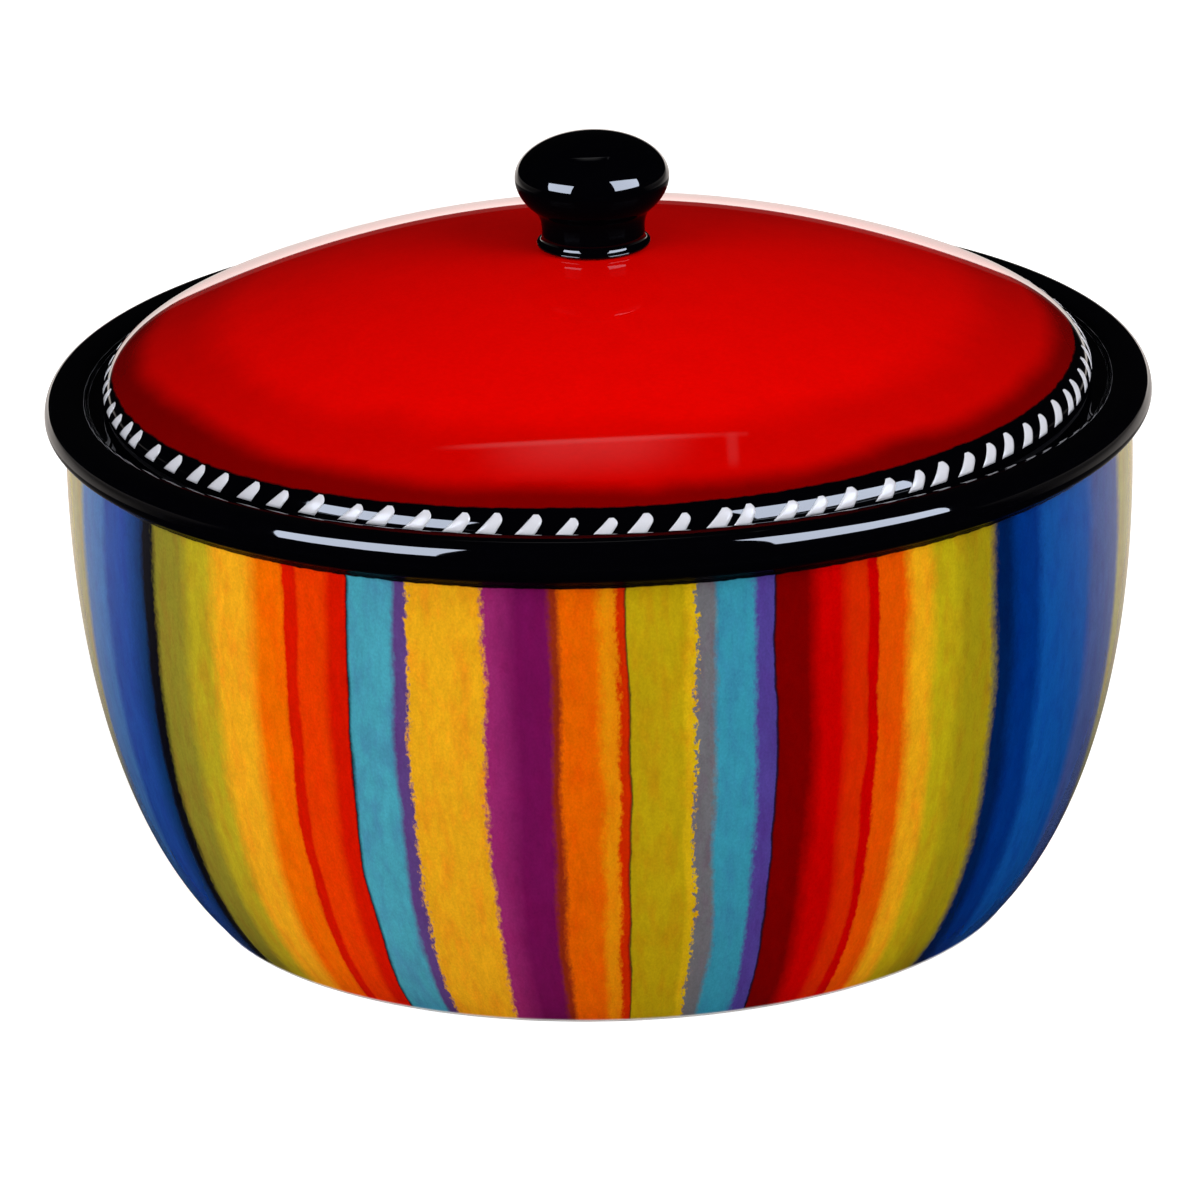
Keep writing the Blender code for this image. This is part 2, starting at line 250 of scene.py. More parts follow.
class PotSizes(PropertyGroup):
    """Sizes of the pot."""

    rim_radius: length("Rim radius", "Outermost reach of the rolled rim", POT_BOX[1].x)
    rim_height: length("Rim height", "Top of the rolled rim", POT_BOX[1].z)
    roll_radius: length("Roll radius", "Section radius of the roll", 0.0050)
    roll_fullness: FloatProperty(name="Roll fullness", default=0.66,
                                 description="Handles of the outer quarter, in roll radii")
    crown_flat: length("Crown flat", "Width of the roll's flat top", 0.0020)
    front_rise: length("Front rise", "How much higher the roll stands at the front", 0.0038)
    roll_drop: length("Roll drop", "Depth of the roll below its widest line", 0.0036)
    roll_cove: length("Roll cove", "Height of the cove from the roll to the wall", 0.0016)
    overhang: length("Overhang", "How far the roll stands out from the wall", 0.0051)
    swell: length("Belly swell", "How far the belly pulls out beyond its top", 0.0010)
    corner_height: length("Belly corner", "Height of the corner that the belly rounds off",
                          0.0306)
    foot_radius: length("Foot radius", "Outer radius of the foot", 0.1024)
    foot_pull: length("Foot pull", "Length of the belly curve's first handle", 0.0037)
    foot_bevel: length("Foot bevel", "Rounding of the foot ring's edges", 0.0007)
    foot_width: length("Foot width", "Width of the ring that stands on the table", 0.0070)
    foot_recess: length("Foot recess", "Height of the hollow inside the ring", 0.0030)
    wall: length("Wall thickness", "Thickness of the wall", 0.0060)
    floor: length("Floor thickness", "Thickness of the floor", 0.0065)
    floor_fillet: length("Floor fillet", "Reach of the floor's sweep into the wall", 0.0120)
    gallery_depth: length("Gallery depth", "From the top of the roll to the ledge", 0.0024)
    gallery_cove: length("Gallery cove", "Cove between the ledge and the roll", 0.0008)
    gallery_side: length("Gallery side", "From the rim's widest line in to the cove", 0.0107)
    paint_line: length("Paint line", "From the top of the roll to the black's lower edge",
                       0.0099)
    ledge_width: length("Ledge width", "From the roll's inner side to the mouth", 0.0116)
    ledge_thickness: length("Ledge thickness", "Thickness of the ledge", 0.0055)
    haunch: length("Ledge haunch", "Height of the slope under the ledge", 0.0090)
    mouth_edge: length("Mouth edge", "Rounding of the ledge's inner edges", 0.0012)


class LidSizes(PropertyGroup):
    """Sizes of the lid and of its painted border."""

    radius: length("Lid radius", "Outer radius of the lid", LID_BOX[1].x - LID_INSET)
    seat: length("Seat height", "Height of the face that rests on the ledge", 0.1333)
    edge: length("Edge rounding", "Rounding of the lower outer edge", 0.0017)
    border_rise: length("Border rise", "Height of the rounded border", 0.0116)
    border_run: length("Border run", "Width of the rounded border from above", 0.0123)
    border_shoulder: length("Border shoulder", "Upper handle of the border's curve", 0.0080)
    border_drop: length("Border drop", "Height of the curve's lower handle", 0.0052)
    border_paint: length("Border paint", "Radius where the black band starts", 0.1211)
    dome_rise: length("Dome rise", "Height of the dome above the border", 0.0251)
    dome_power: FloatProperty(name="Dome power", description="2 gives a parabola",
                              default=2.03)
    thickness: length("Thickness", "Thickness of the lid", 0.0060)
    flange_radius: length("Flange radius", "Outer radius of the locating flange", 0.1164)
    flange_thickness: length("Flange thickness", "Thickness of the flange", 0.0050)
    flange_depth: length("Flange depth", "Reach of the flange below the seat", 0.0090)
    flange_rounding: length("Flange rounding", "Rounding of its lower edges", 0.0015)
    flange_fillet: length("Flange fillet", "Its sweep into the underside", 0.0040)
    dash_count: IntProperty(name="Dashes", description="White dashes round the border",
                            default=83, min=3)
    dash_width: length("Dash width", "Width of a dash at its foot", 0.0051)
    dash_foot: length("Dash foot", "Height of the dashes' lower end", 0.1363)
    dash_top: length("Dash top", "Height of the dashes' tips", 0.1407)
    dash_relief: length("Dash relief", "How far the white enamel stands proud", 0.00014)


class KnobSizes(PropertyGroup):
    """Sizes of the knob."""

    base: length("Base radius", "Radius of the flared base", 0.0143)
    neck: length("Neck radius", "Radius of the neck", 0.0130)
    head: length("Head radius", "Radius of the head", KNOB_BOX[1].x)
    gap: length("Seat gap", "Between the knob's base and the lid", 0.0003)
    base_flare: length("Base flare", "Height of the flare from base to neck", 0.0022)
    base_edge: length("Base edge", "Height of the base's outer face", 0.0008)
    head_height: length("Head height", "From the crown to the widest line", 0.01735)
    crown_rise: length("Crown rise", "From the widest line to the top", 0.0108)
    head_drop: length("Head drop", "Depth of the head's lower half", 0.0125)
    throat_angle: FloatProperty(name="Throat angle", default=38.0,
                                description="Degrees below the widest line")
    throat: length("Throat", "Height of the throat between head and neck", 0.0040)


class GlazeColours(PropertyGroup):
    """Colours of the glazes, apart from the stripes."""

    black: colour("Black glaze", "Rim, border band and knob", "#020204")
    red: colour("Red glaze", "The dome's crown", "#EC0300")
    red_ring: colour("Red ring", "Second coat, outside the crown", "#D00200")
    red_edge: colour("Red edge", "Thick glaze near the border band", "#7A0000")
    white: colour("White enamel", "Dashes on the border band", "#DCDDE6")
    inside: colour("Inside", "Cream body seen through the clear glaze", "#E6DFCF")
    clay: colour("Clay", "Bare fired clay of the foot and the seats", "#DAD6D2")


class StripeColours(PropertyGroup):
    """Colours of the stripes, one property for each."""

    __annotations__ = {
        key: colour(key.replace("_", " ").capitalize(), "Underglaze of a stripe", code)
        for key, code in STRIPE_GLAZES.items()}


class StudioSettings(PropertyGroup):
    """Camera and light of the studio."""

    distance: length("Camera distance", "From the camera to its target", 5.0)
    elevation: FloatProperty(name="Elevation", description="Camera above the horizontal",
                             subtype="ANGLE", default=math.radians(19.128))
    roll: FloatProperty(name="Roll", description="Turn of the picture", subtype="ANGLE",
                        default=math.radians(1.613))
    lens: FloatProperty(name="Lens", description="Focal length in millimetres",
                        default=591.3)
    target: FloatVectorProperty(name="Target", description="Point the camera looks at",
                                subtype="TRANSLATION", default=(-0.000958, 0.0, 0.076275))
    softbox: FloatProperty(name="Softbox light",
                           description="Radiance that lights the colours", default=5.7)
    glare: FloatProperty(name="Softbox glare", description="Radiance that the glazes mirror",
                         default=41.0)
    glare_tint: FloatVectorProperty(name="Glare tint", description="Cool daylight",
                                    subtype="COLOR", default=(0.74, 0.82, 1.0))
    sheet: FloatProperty(name="Sheet radiance", description="Sheet overhead, in the glaze",
                         default=1.0)
    ambient: FloatProperty(name="Ambient", description="Light from all round", default=0.2)


# ---------------------------------------------------------------- outlines

def arc(centre, radius_r, radius_z, start, end, count):
    """Ellipse: centre plus (radius_r cos a, radius_z sin a), a even from start to end."""
    angle = np.radians(np.linspace(start, end, count))
    return np.stack([centre[0] + radius_r * np.cos(angle),
                     centre[1] + radius_z * np.sin(angle)], axis=1)


def arc_heading(radius_r, radius_z, angle, turning):
    """Unit tangent of that ellipse: (-radius_r sin a, radius_z cos a) over its length."""
    angle = math.radians(angle)
    heading = turning * np.array([-radius_r * math.sin(angle), radius_z * math.cos(angle)])
    return heading / np.linalg.norm(heading)


def sweep(start, corner, end, count):
    """Quadratic curve: s^2 start + 2 s t corner + t^2 end, with s = 1 - t."""
    t = np.linspace(0.0, 1.0, count)[:, None]
    s = 1.0 - t
    return (s * s * np.asarray(start) + 2.0 * s * t * np.asarray(corner)
            + t * t * np.asarray(end))


def bend(start, first, second, end, count):
    """Cubic curve: s^3 start + 3 s^2 t first + 3 s t^2 second + t^3 end, with s = 1 - t."""
    t = np.linspace(0.0, 1.0, count)[:, None]
    s = 1.0 - t
    return (s ** 3 * np.asarray(start) + 3.0 * s * s * t * np.asarray(first)
            + 3.0 * s * t * t * np.asarray(second) + t ** 3 * np.asarray(end))


def line(start, end, count):
    """Straight stretch: (1 - t) start + t end."""
    t = np.linspace(0.0, 1.0, count)[:, None]
    return (1.0 - t) * np.asarray(start) + t * np.asarray(end)


def roll_underside(pot, count):
    """The roll's ellipse from its widest line down to 60 degrees, then the cove's sweep."""
    centre = np.array([pot.rim_radius - pot.roll_radius, pot.rim_height - pot.roll_radius])
    turn = -60.0
    under = arc(centre, pot.roll_radius, pot.roll_drop, 0.0, turn, count)
    heading = arc_heading(pot.roll_radius, pot.roll_drop, turn, -1.0)
    wall_radius = pot.rim_radius - pot.overhang
    corner = under[-1] + (under[-1, 0] - wall_radius) / -heading[0] * heading
    cove = sweep(under[-1], corner, corner - (0.0, pot.roll_cove), count // 2)
    return under, cove


def belly(pot, count):
    """Cubic bend from the foot's edge, where it rises at 56 degrees, to the wall's top."""
    rise = math.radians(56.0)
    foot = np.array([pot.foot_radius, pot.foot_bevel])
    handle = foot + pot.foot_pull * np.array([math.cos(rise), math.sin(rise)])
    corner = np.array([pot.rim_radius - pot.overhang + pot.swell, pot.corner_height])
    return bend(foot, handle, corner, roll_underside(pot, 8)[1][-1], count)


def shifted_inwards(points, distance):
    """Each point moved by distance along its outline's left-hand normal (-dz, dr)."""
    along = np.gradient(points, axis=0)
    along /= np.linalg.norm(along, axis=1)[:, None]
    return points + distance * np.stack([-along[:, 1], along[:, 0]], axis=1)


def at_height(points, heights):
    """Points of a climbing outline at the given heights, by straight interpolation."""
    heights = np.atleast_1d(heights)
    return np.stack([np.interp(heights, points[:, 1], points[:, 0]), heights], axis=1)


def pot_section(pot):
    """The pot's outline: inside, black rim, its shaded underside, striped wall, bare foot.

    The cove under the roll is black down to black_margin above the paint line, where the
    stripes' own black edge takes over.
    """
    black_margin, shoulder_lean = 0.0005, 0.0005
    centre = np.array([pot.rim_radius - pot.roll_radius, pot.rim_height - pot.roll_radius])
    floor = pot.foot_recess + pot.floor
    ledge = pot.rim_height - pot.gallery_depth
    wall_radius = pot.rim_radius - pot.overhang - pot.wall
    mouth = pot.rim_radius - 2.0 * pot.roll_radius - pot.ledge_width

    inner = shifted_inwards(belly(pot, 300), pot.wall)
    corner = at_height(inner, floor)[0]
    sweep_top = at_height(inner, floor + pot.floor_fillet)[0]
    under = ledge - pot.ledge_thickness
    haunch_foot = np.array([wall_radius, under - pot.haunch])
    haunch_top = np.array([mouth + pot.mouth_edge, under])
    haunch_corner = np.array([wall_radius, (haunch_foot[1] + under) / 2.0])
    sweep_start = corner - (pot.floor_fillet, 0.0)
    climb = np.linspace(sweep_top[1], haunch_foot[1], 40)[1:-1]
    inside = [line((0.0, floor), sweep_start, 14),
              sweep(sweep_start, corner, sweep_top, 14),
              at_height(inner, climb),
              sweep(haunch_foot, haunch_corner, haunch_top, 14)]

    cove_top = np.array([pot.rim_radius - pot.gallery_side, ledge + pot.gallery_cove])
    shoulder = np.array([cove_top[0] + shoulder_lean, pot.rim_height])
    cove_corner = cove_top + (pot.gallery_cove / (shoulder[1] - cove_top[1])
                              * (cove_top - shoulder))
    crown = np.array([centre[0], pot.rim_height])
    flat = crown - (pot.crown_flat, 0.0)
    widest = np.array([pot.rim_radius, centre[1]])
    full = pot.roll_fullness * pot.roll_radius
    edge = pot.mouth_edge
    roll_under, cove = roll_underside(pot, 28)
    black = cove[:, 1] > pot.rim_height - pot.paint_line + black_margin
    rim = [sweep(haunch_top, (mouth, under), (mouth, under + edge), 6),
           line((mouth, under + edge), (mouth, ledge - edge), 3),
           sweep((mouth, ledge - edge), (mouth, ledge), (mouth + edge, ledge), 6),
           line((mouth + edge, ledge), cove_corner - (pot.gallery_cove, 0.0), 6),
           sweep(cove_corner - (pot.gallery_cove, 0.0), cove_corner, cove_top, 6),
           sweep(cove_top, shoulder, flat, 12),
           line(flat, crown, 5),
           bend(crown, crown + (full, 0.0), widest + (0.0, full), widest, 20)]

    foot_inner = pot.foot_radius - pot.foot_width
    bevel = pot.foot_bevel
    recess = pot.foot_recess
    foot = [sweep((pot.foot_radius, bevel), (pot.foot_radius - 0.3 * bevel, 0.0),
                  (pot.foot_radius - bevel, 0.0), 5),
            line((pot.foot_radius - bevel, 0.0), (foot_inner + bevel, 0.0), 4),
            sweep((foot_inner + bevel, 0.0), (foot_inner, 0.0), (foot_inner, bevel), 5),
            sweep((foot_inner, bevel), (foot_inner - 0.3 * recess, recess),
                  (foot_inner - recess, recess), 8),
            line((foot_inner - recess, recess), (0.0, recess), 8)]
    # The third stretch, the roll's underside and its black cove, is painted shade: black that
    # barely mirrors
    return [inside, rim, [roll_under, cove[black]], [cove[~black], belly(pot, 60)[::-1]], foot]


def raised_front(points, pot):
    """Lift the roll at the front by rise (-y / r)^1.5 k, wherever -y is positive.

    k climbs from 0 under the roll to 0.4 at its widest line and 1 at its crown, and is 0
    on the ledge. The first climb takes 1.4 roll radii.
    """
    at_widest, first_climb = 0.4, 1.4
    reach = np.hypot(points[:, 0], points[:, 1])
    front = np.clip(-points[:, 1] / np.maximum(reach, TINY), 0.0, 1.0) ** 1.5
    above = (points[:, 2] - pot.rim_height) / pot.roll_radius + 1.0
    climb = (at_widest * np.clip(1.0 + above / first_climb, 0.0, 1.0)
             + (1.0 - at_widest) * np.clip(above, 0.0, 1.0))
    side = pot.rim_radius - pot.gallery_side
    outside = np.clip((reach - side) / pot.gallery_cove + 1.0, 0.0, 1.0)
    lifted = points.copy()
    lifted[:, 2] += pot.front_rise * front * climb * outside
    return lifted


def dome_height(lid, radius):
    """Dome: foot height + rise (1 - (r / R) ^ power)."""
    foot = lid.seat + lid.edge + lid.border_rise
    share = np.asarray(radius) / (lid.radius - lid.border_run)
    return foot + lid.dome_rise * (1.0 - share ** lid.dome_power)


def dome_slope(lid, radius):
    """How steeply the dome falls: rise power / R (r / R) ^ (power - 1)."""
    reach = lid.radius - lid.border_run
    return (lid.dome_rise * lid.dome_power / reach
            * (np.asarray(radius) / reach) ** (lid.dome_power - 1.0))


def dome_underside(lid, radius):
    """Dome place less the thickness along its unit normal (slope, 1)."""
    radius = np.atleast_1d(radius)
    normal = np.stack([dome_slope(lid, radius), np.ones_like(radius)], axis=1)
    normal /= np.linalg.norm(normal, axis=1)[:, None]
    return np.stack([radius, dome_height(lid, radius)], axis=1) - lid.thickness * normal


def border(lid, count):
    """Cubic bend from the dome's foot, with its slope, down to the lid's widest line."""
    dome_radius = lid.radius - lid.border_run
    top = np.array([dome_radius, float(dome_height(lid, dome_radius))])
    shoulder = top + lid.border_shoulder * np.array(
        [1.0, -float(dome_slope(lid, dome_radius))])
    foot = np.array([lid.radius, lid.seat + lid.edge])
    return bend(top, shoulder, foot + (0.0, lid.border_drop), foot, count)


def lid_section(lid):
    """The lid's outline: glazed dome and border, bare edge and seat, flange and underside."""
    radius = (lid.radius - lid.border_run) * np.linspace(0.0, 1.0, 60)
    dome = np.stack([radius, dome_height(lid, radius)], axis=1)
    edge_centre = (lid.radius - lid.edge, lid.seat + lid.edge)
    edge = arc(edge_centre, lid.edge, lid.edge, 0.0, -90.0, 9)

    inner = lid.flange_radius - lid.flange_thickness
    fillet = dome_underside(lid, inner - lid.flange_fillet)[0]
    fall = float(dome_slope(lid, inner - lid.flange_fillet)) * (inner - fillet[0])
    corner = np.array([inner, fillet[1] - fall])
    fillet_foot = corner - (0.0, lid.flange_fillet)
    low = lid.seat - lid.flange_depth
    turn = lid.flange_rounding
    outer = lid.flange_radius
    seat = [edge[5:], line((lid.radius - lid.edge, lid.seat), (outer + turn, lid.seat), 5),
            sweep((outer + turn, lid.seat), (outer, lid.seat), (outer, lid.seat - turn), 6)]
    flange = [line((outer, lid.seat - turn), (outer, low + turn), 5),
              sweep((outer, low + turn), (outer, low), (outer - turn, low), 7),
              line((outer - turn, low), (inner + turn, low), 3),
              sweep((inner + turn, low), (inner, low), (inner, low + turn), 7),
              line((inner, low + turn), fillet_foot, 6),
              sweep(fillet_foot, corner, fillet, 9)]
    under = dome_underside(lid, np.linspace(inner - lid.flange_fillet, 0.0, 30))
    under[-1, 0] = 0.0
    return [[dome, border(lid, 40), edge[:6]], seat, flange + [under]]


def knob_section(knob, lid):
    """The knob's outline: head, throat and neck, flared base, and hollowed seat."""
    crown = float(dome_height(lid, 0.0)) + knob.gap
    centre = np.array([0.0, crown + knob.head_height])
    head = arc(centre, knob.head, knob.crown_rise, 90.0, 0.0, 26)
    head[0, 0] = 0.0
    lower = arc(centre, knob.head, knob.head_drop, 0.0, -knob.throat_angle, 14)
    heading = arc_heading(knob.head, knob.head_drop, -knob.throat_angle, -1.0)
    corner = lower[-1] + (lower[-1, 0] - knob.neck) / -heading[0] * heading
    throat_end = corner - (0.0, knob.throat)
    foot = float(dome_height(lid, knob.base)) + knob.gap
    flare_foot = np.array([knob.base, foot + knob.base_edge])
    flare_top = np.array([knob.neck, flare_foot[1] + knob.base_flare])
    seat_radius = knob.base * np.linspace(1.0, 0.0, 6)
    seat = np.stack([seat_radius, dome_height(lid, seat_radius) + knob.gap], axis=1)
    round_off = 0.35 * knob.base_edge
    return [[head],
            [lower, sweep(lower[-1], corner, throat_end, 14), line(throat_end, flare_top, 3)],
            [sweep(flare_top, (knob.neck, flare_foot[1]), flare_foot, 10),
             line(flare_foot, (knob.base, foot + round_off), 3),
             sweep((knob.base, foot + round_off), (knob.base, foot), seat[1], 4)],
            [seat[1:]]]


# ---------------------------------------------------------------- meshes

def mesh_piece(name, points, faces, glazes, face_glaze):
    """Make a piece of points and faces.

    A face is a row of four points, and a last point that repeats the third makes it a
    triangle. Each face has the number of its glaze.
    """
    triangle = faces[:, 2] == faces[:, 3]
    counts = np.where(triangle, 3, 4)
    keep = np.ones(faces.shape, bool)
    keep[triangle, 3] = False
    loops = faces[keep]
    mesh = bpy.data.meshes.new(name)
    mesh.vertices.add(len(points))
    mesh.vertices.foreach_set("co", np.ascontiguousarray(points, np.float32).ravel())
    mesh.loops.add(len(loops))
    mesh.loops.foreach_set("vertex_index", loops.astype(np.int32))
    mesh.polygons.add(len(faces))
    starts = np.concatenate([[0], np.cumsum(counts)[:-1]]).astype(np.int32)
    mesh.polygons.foreach_set("loop_start", starts)
    mesh.polygons.foreach_set("material_index", face_glaze.astype(np.int32))
    for glaze in glazes:
        mesh.materials.append(glaze)
    mesh.update(calc_edges=True)
    mesh.validate()
    mesh.shade_smooth()
    piece = bpy.data.objects.new(name, mesh)
    bpy.context.scene.collection.objects.link(piece)
    return piece


def turned_piece(name, stretches, segments, glazes, settle=None):
    """Turn an outline round Z: (r, z) at the angle a becomes (r cos a, r sin a, z).

    The outline comes in stretches, one for each glaze, and runs from the axis to the axis,
    so its two ends are single points. Where settle is given, it moves all points at once.
    """
    outline = np.concatenate([part for parts in stretches for part in parts])
    kinds = np.repeat(np.arange(len(stretches)),
                      [sum(len(part) for part in parts) for parts in stretches])
    step = np.linalg.norm(np.diff(outline, axis=0), axis=1)
    keep = np.concatenate([[True], step > TINY])
    outline, kinds = outline[keep], kinds[keep]

    rings = outline[1:-1]
    angle = np.linspace(0.0, 2.0 * np.pi, segments, endpoint=False)
    points = np.stack([rings[:, :1] * np.cos(angle), rings[:, :1] * np.sin(angle),
                       np.repeat(rings[:, 1:], segments, axis=1)], axis=2).reshape(-1, 3)
    poles = np.array([[0.0, 0.0, outline[0, 1]], [0.0, 0.0, outline[-1, 1]]])
    points = np.concatenate([points, poles])
    if settle:
        points = settle(points)
    first, last = len(points) - 2, len(points) - 1

    here = np.arange(segments)
    beside = (here + 1) % segments
    ring = np.arange(len(rings) - 1)[:, None] * segments
    quads = np.stack([ring + here, ring + segments + here, ring + segments + beside,
                      ring + beside], axis=2).reshape(-1, 4)
    top = np.stack([np.full(segments, first), here, beside, beside], axis=1)
    base = (len(rings) - 1) * segments
    bottom = np.stack([base + here, np.full(segments, last), base + beside,
                       base + beside], axis=1)
    faces = np.concatenate([top, quads, bottom])
    face_glaze = np.repeat(kinds[1:], segments)
    return mesh_piece(name, points, faces, glazes, face_glaze)


def dash_patches(lid):
    """One closed patch for each dash, bent on the border band.

    A dash is shaped like a fin, with its width w at the foot. Over t from 0 to 1 up the
    band, its left edge runs from -0.5 w to 0.45 w at the tip, and its right edge lies at
    0.5 w + 0.62 w t - 0.42 w ((t - 0.55) / 0.45)^2.2, the last term only above 0.55. The
    patch stands proud by clear + relief (1 - s^6) (1 - (2 t - 1)^6), s being -1 and 1 at
    the edges, and its back lies sunk under the band's surface. The dashes' even places
    drift by some degrees, as when they are set by hand: on the right their tips reach up
    to 0.5 mm higher, and on the left they stand up to 0.7 mm lower.
    """
    across, up = 7, 11
    shift, clear, sunk = 0.0009, 2e-5, 1e-4
    higher, lower = 0.0005, 0.0007
    count = lid.dash_count
    random = np.random.default_rng(7)
    place = 360.0 / count * (np.arange(count) - count // 2)
    drift = np.interp(place, (-90, -64, -55, -30, 5, 33, 40, 62, 78),
                      (-2.6, -3.5, -2.5, 0.0, 0.3, -1.1, -0.1, -1.9, -2.4))
    place = (place + drift + 0.35 * random.normal(size=count))[:, None, None]
    width = (lid.dash_width * (1.0 + 0.06 * random.normal(size=count)))[:, None, None]
    reach = (0.00025 * random.normal(size=count))[:, None, None]
    reach = reach + higher * np.clip((place - 40.0) / 12.0, 0.0, 1.0)
    foot = lid.dash_foot - lower * np.clip((-30.0 - place) / 25.0, 0.0, 1.0)
    s = np.linspace(-1.0, 1.0, across)[None, :, None]
    t = np.sin(np.linspace(0.0, 0.5 * np.pi, up))[None, None, :]
    left = width * (0.95 * t - 0.5)
    right = width * (0.5 + 0.62 * t - 0.42 * (np.clip(t - 0.55, 0.0, 1.0) / 0.45) ** 2.2)
    along = 0.5 * (left + right) + s * 0.5 * np.maximum(right - left, 0.04 * width)
    heights = foot + t * (lid.dash_top - lid.dash_foot + reach)
    heights = np.broadcast_to(heights, along.shape)

    band = border(lid, 200)[::-1]
    slope = np.gradient(band, axis=0)
    slope /= np.linalg.norm(slope, axis=1)[:, None]
    radius = np.interp(heights, band[:, 1], band[:, 0])
    out_r = np.interp(heights, band[:, 1], slope[:, 1])
    out_z = np.interp(heights, band[:, 1], -slope[:, 0])
    relief = lid.dash_relief * (1.0 - s ** 6) * (1.0 - np.abs(2.0 * t - 1.0) ** 6)

    angle = np.radians(place - 90.0) + (along - shift) / lid.radius
    layers = []
    for lift in (relief + clear, -sunk):
        r = radius + lift * out_r
        z = heights + lift * out_z
        layers.append(np.stack([r * np.cos(angle), r * np.sin(angle), z], axis=-1))
    points = np.stack(layers, axis=1).reshape(-1, 3)

    index = np.arange(2 * across * up).reshape(2, across, up)
    front, back = index
    quads = [np.stack([front[:-1, :-1], front[1:, :-1], front[1:, 1:], front[:-1, 1:]], -1),
             np.stack([back[:-1, :-1], back[:-1, 1:], back[1:, 1:], back[1:, :-1]], -1)]
    loop = [np.concatenate([layer[:, 0], layer[-1, 1:], layer[-2::-1, -1],
                            layer[0, -2:0:-1]]) for layer in (front, back)]
    rim = np.stack([loop[0], loop[1], np.roll(loop[1], -1), np.roll(loop[0], -1)], -1)
    quads = np.concatenate([q.reshape(-1, 4) for q in quads] + [rim])
    step = 2 * across * up * np.arange(count)[:, None, None]
    return points, (quads + step).reshape(-1, 4)


# ---------------------------------------------------------------- glazes

def add_node(tree, kind, inputs=(), out=0, **settings):
    """Add a node, give it its settings, and set or link its inputs.

    Inputs come in order, or as a dict of their names or places. Returns the output out,
    or the node itself where out is None.
    """
    node = tree.nodes.new(kind)
    for key, value in settings.items():
        setattr(node, key, value)
    pairs = inputs.items() if isinstance(inputs, dict) else enumerate(inputs)
    for key, value in pairs:
        if isinstance(value, bpy.types.NodeSocket):
            tree.links.new(value, node.inputs[key])
        else:
            node.inputs[key].default_value = value
    return node if out is None else node.outputs[out]


def new_glaze(name, **sockets):
    """A material with a Principled shader, whose plain numbers sit on its own sockets."""
    material = bpy.data.materials.new(name)
    material.use_nodes = True
    tree = material.node_tree
    shader = tree.nodes["Principled BSDF"]
    for key, value in sockets.items():
        shader.inputs[key.replace("_", " ")].default_value = value
    return material, tree, shader


def round_coordinates(tree):
    """Angle from the front in degrees, height, and the place with no height."""
    place = add_node(tree, "ShaderNodeTexCoord", out="Object")
    x, y, z = add_node(tree, "ShaderNodeSeparateXYZ", (place,), out=None).outputs
    front = add_node(tree, "ShaderNodeMath", (y, -1.0), operation="MULTIPLY")
    angle = add_node(tree, "ShaderNodeMath", (x, front), operation="ARCTAN2")
    degrees = add_node(tree, "ShaderNodeMath", (angle, 180.0 / math.pi),
                       operation="MULTIPLY")
    return degrees, z, add_node(tree, "ShaderNodeCombineXYZ", (x, y, 0.0))


def wall_coordinates(tree, flat, height, stretch):
    """A place whose patterns run up the wall: (R cos a, R sin a, height / stretch).

    R is WALL_RADIUS. At a stretch of 3 a spot is three times as tall as it is wide, and it
    keeps its angle as the wall narrows.
    """
    unit = add_node(tree, "ShaderNodeVectorMath", (flat,), operation="NORMALIZE")
    ring = add_node(tree, "ShaderNodeVectorMath", {0: unit, "Scale": WALL_RADIUS},
                    operation="SCALE")
    low = add_node(tree, "ShaderNodeMath", (height, stretch), operation="DIVIDE")
    up = add_node(tree, "ShaderNodeCombineXYZ", (0.0, 0.0, low))
    return add_node(tree, "ShaderNodeVectorMath", (ring, up), operation="ADD")


def painted_over(tree, under, paint, value, start, width, fade="LINEAR"):
    """Paint on a colour: none where value is below start, all of it from start + width."""
    share = add_node(tree, "ShaderNodeMapRange",
                     {"Value": value, "From Min": start, "From Max": start + width},
                     interpolation_type=fade)
    return add_node(tree, "ShaderNodeMix", {0: share, 6: under, 7: (*paint, 1.0)},
                    out=2, data_type="RGBA")


def brushed_value(tree, colour_socket, place, spots):
    """Brush marks: the colour's value times 1 + the sum of amount (noise - 0.5).

    Each of the spots gives the size of its noise in metres and its amount.
    """
    total = 1.0
    for size, amount in spots:
        grain = add_node(tree, "ShaderNodeTexNoise",
                         {"Vector": place, "Scale": 1.0 / size, "Detail": 2.0})
        total = add_node(tree, "ShaderNodeMath", (grain, amount, total),
                         operation="MULTIPLY_ADD")
        total = add_node(tree, "ShaderNodeMath", (total, 0.5 * amount),
                         operation="SUBTRACT")
    return add_node(tree, "ShaderNodeHueSaturation", {"Value": total, "Color": colour_socket})


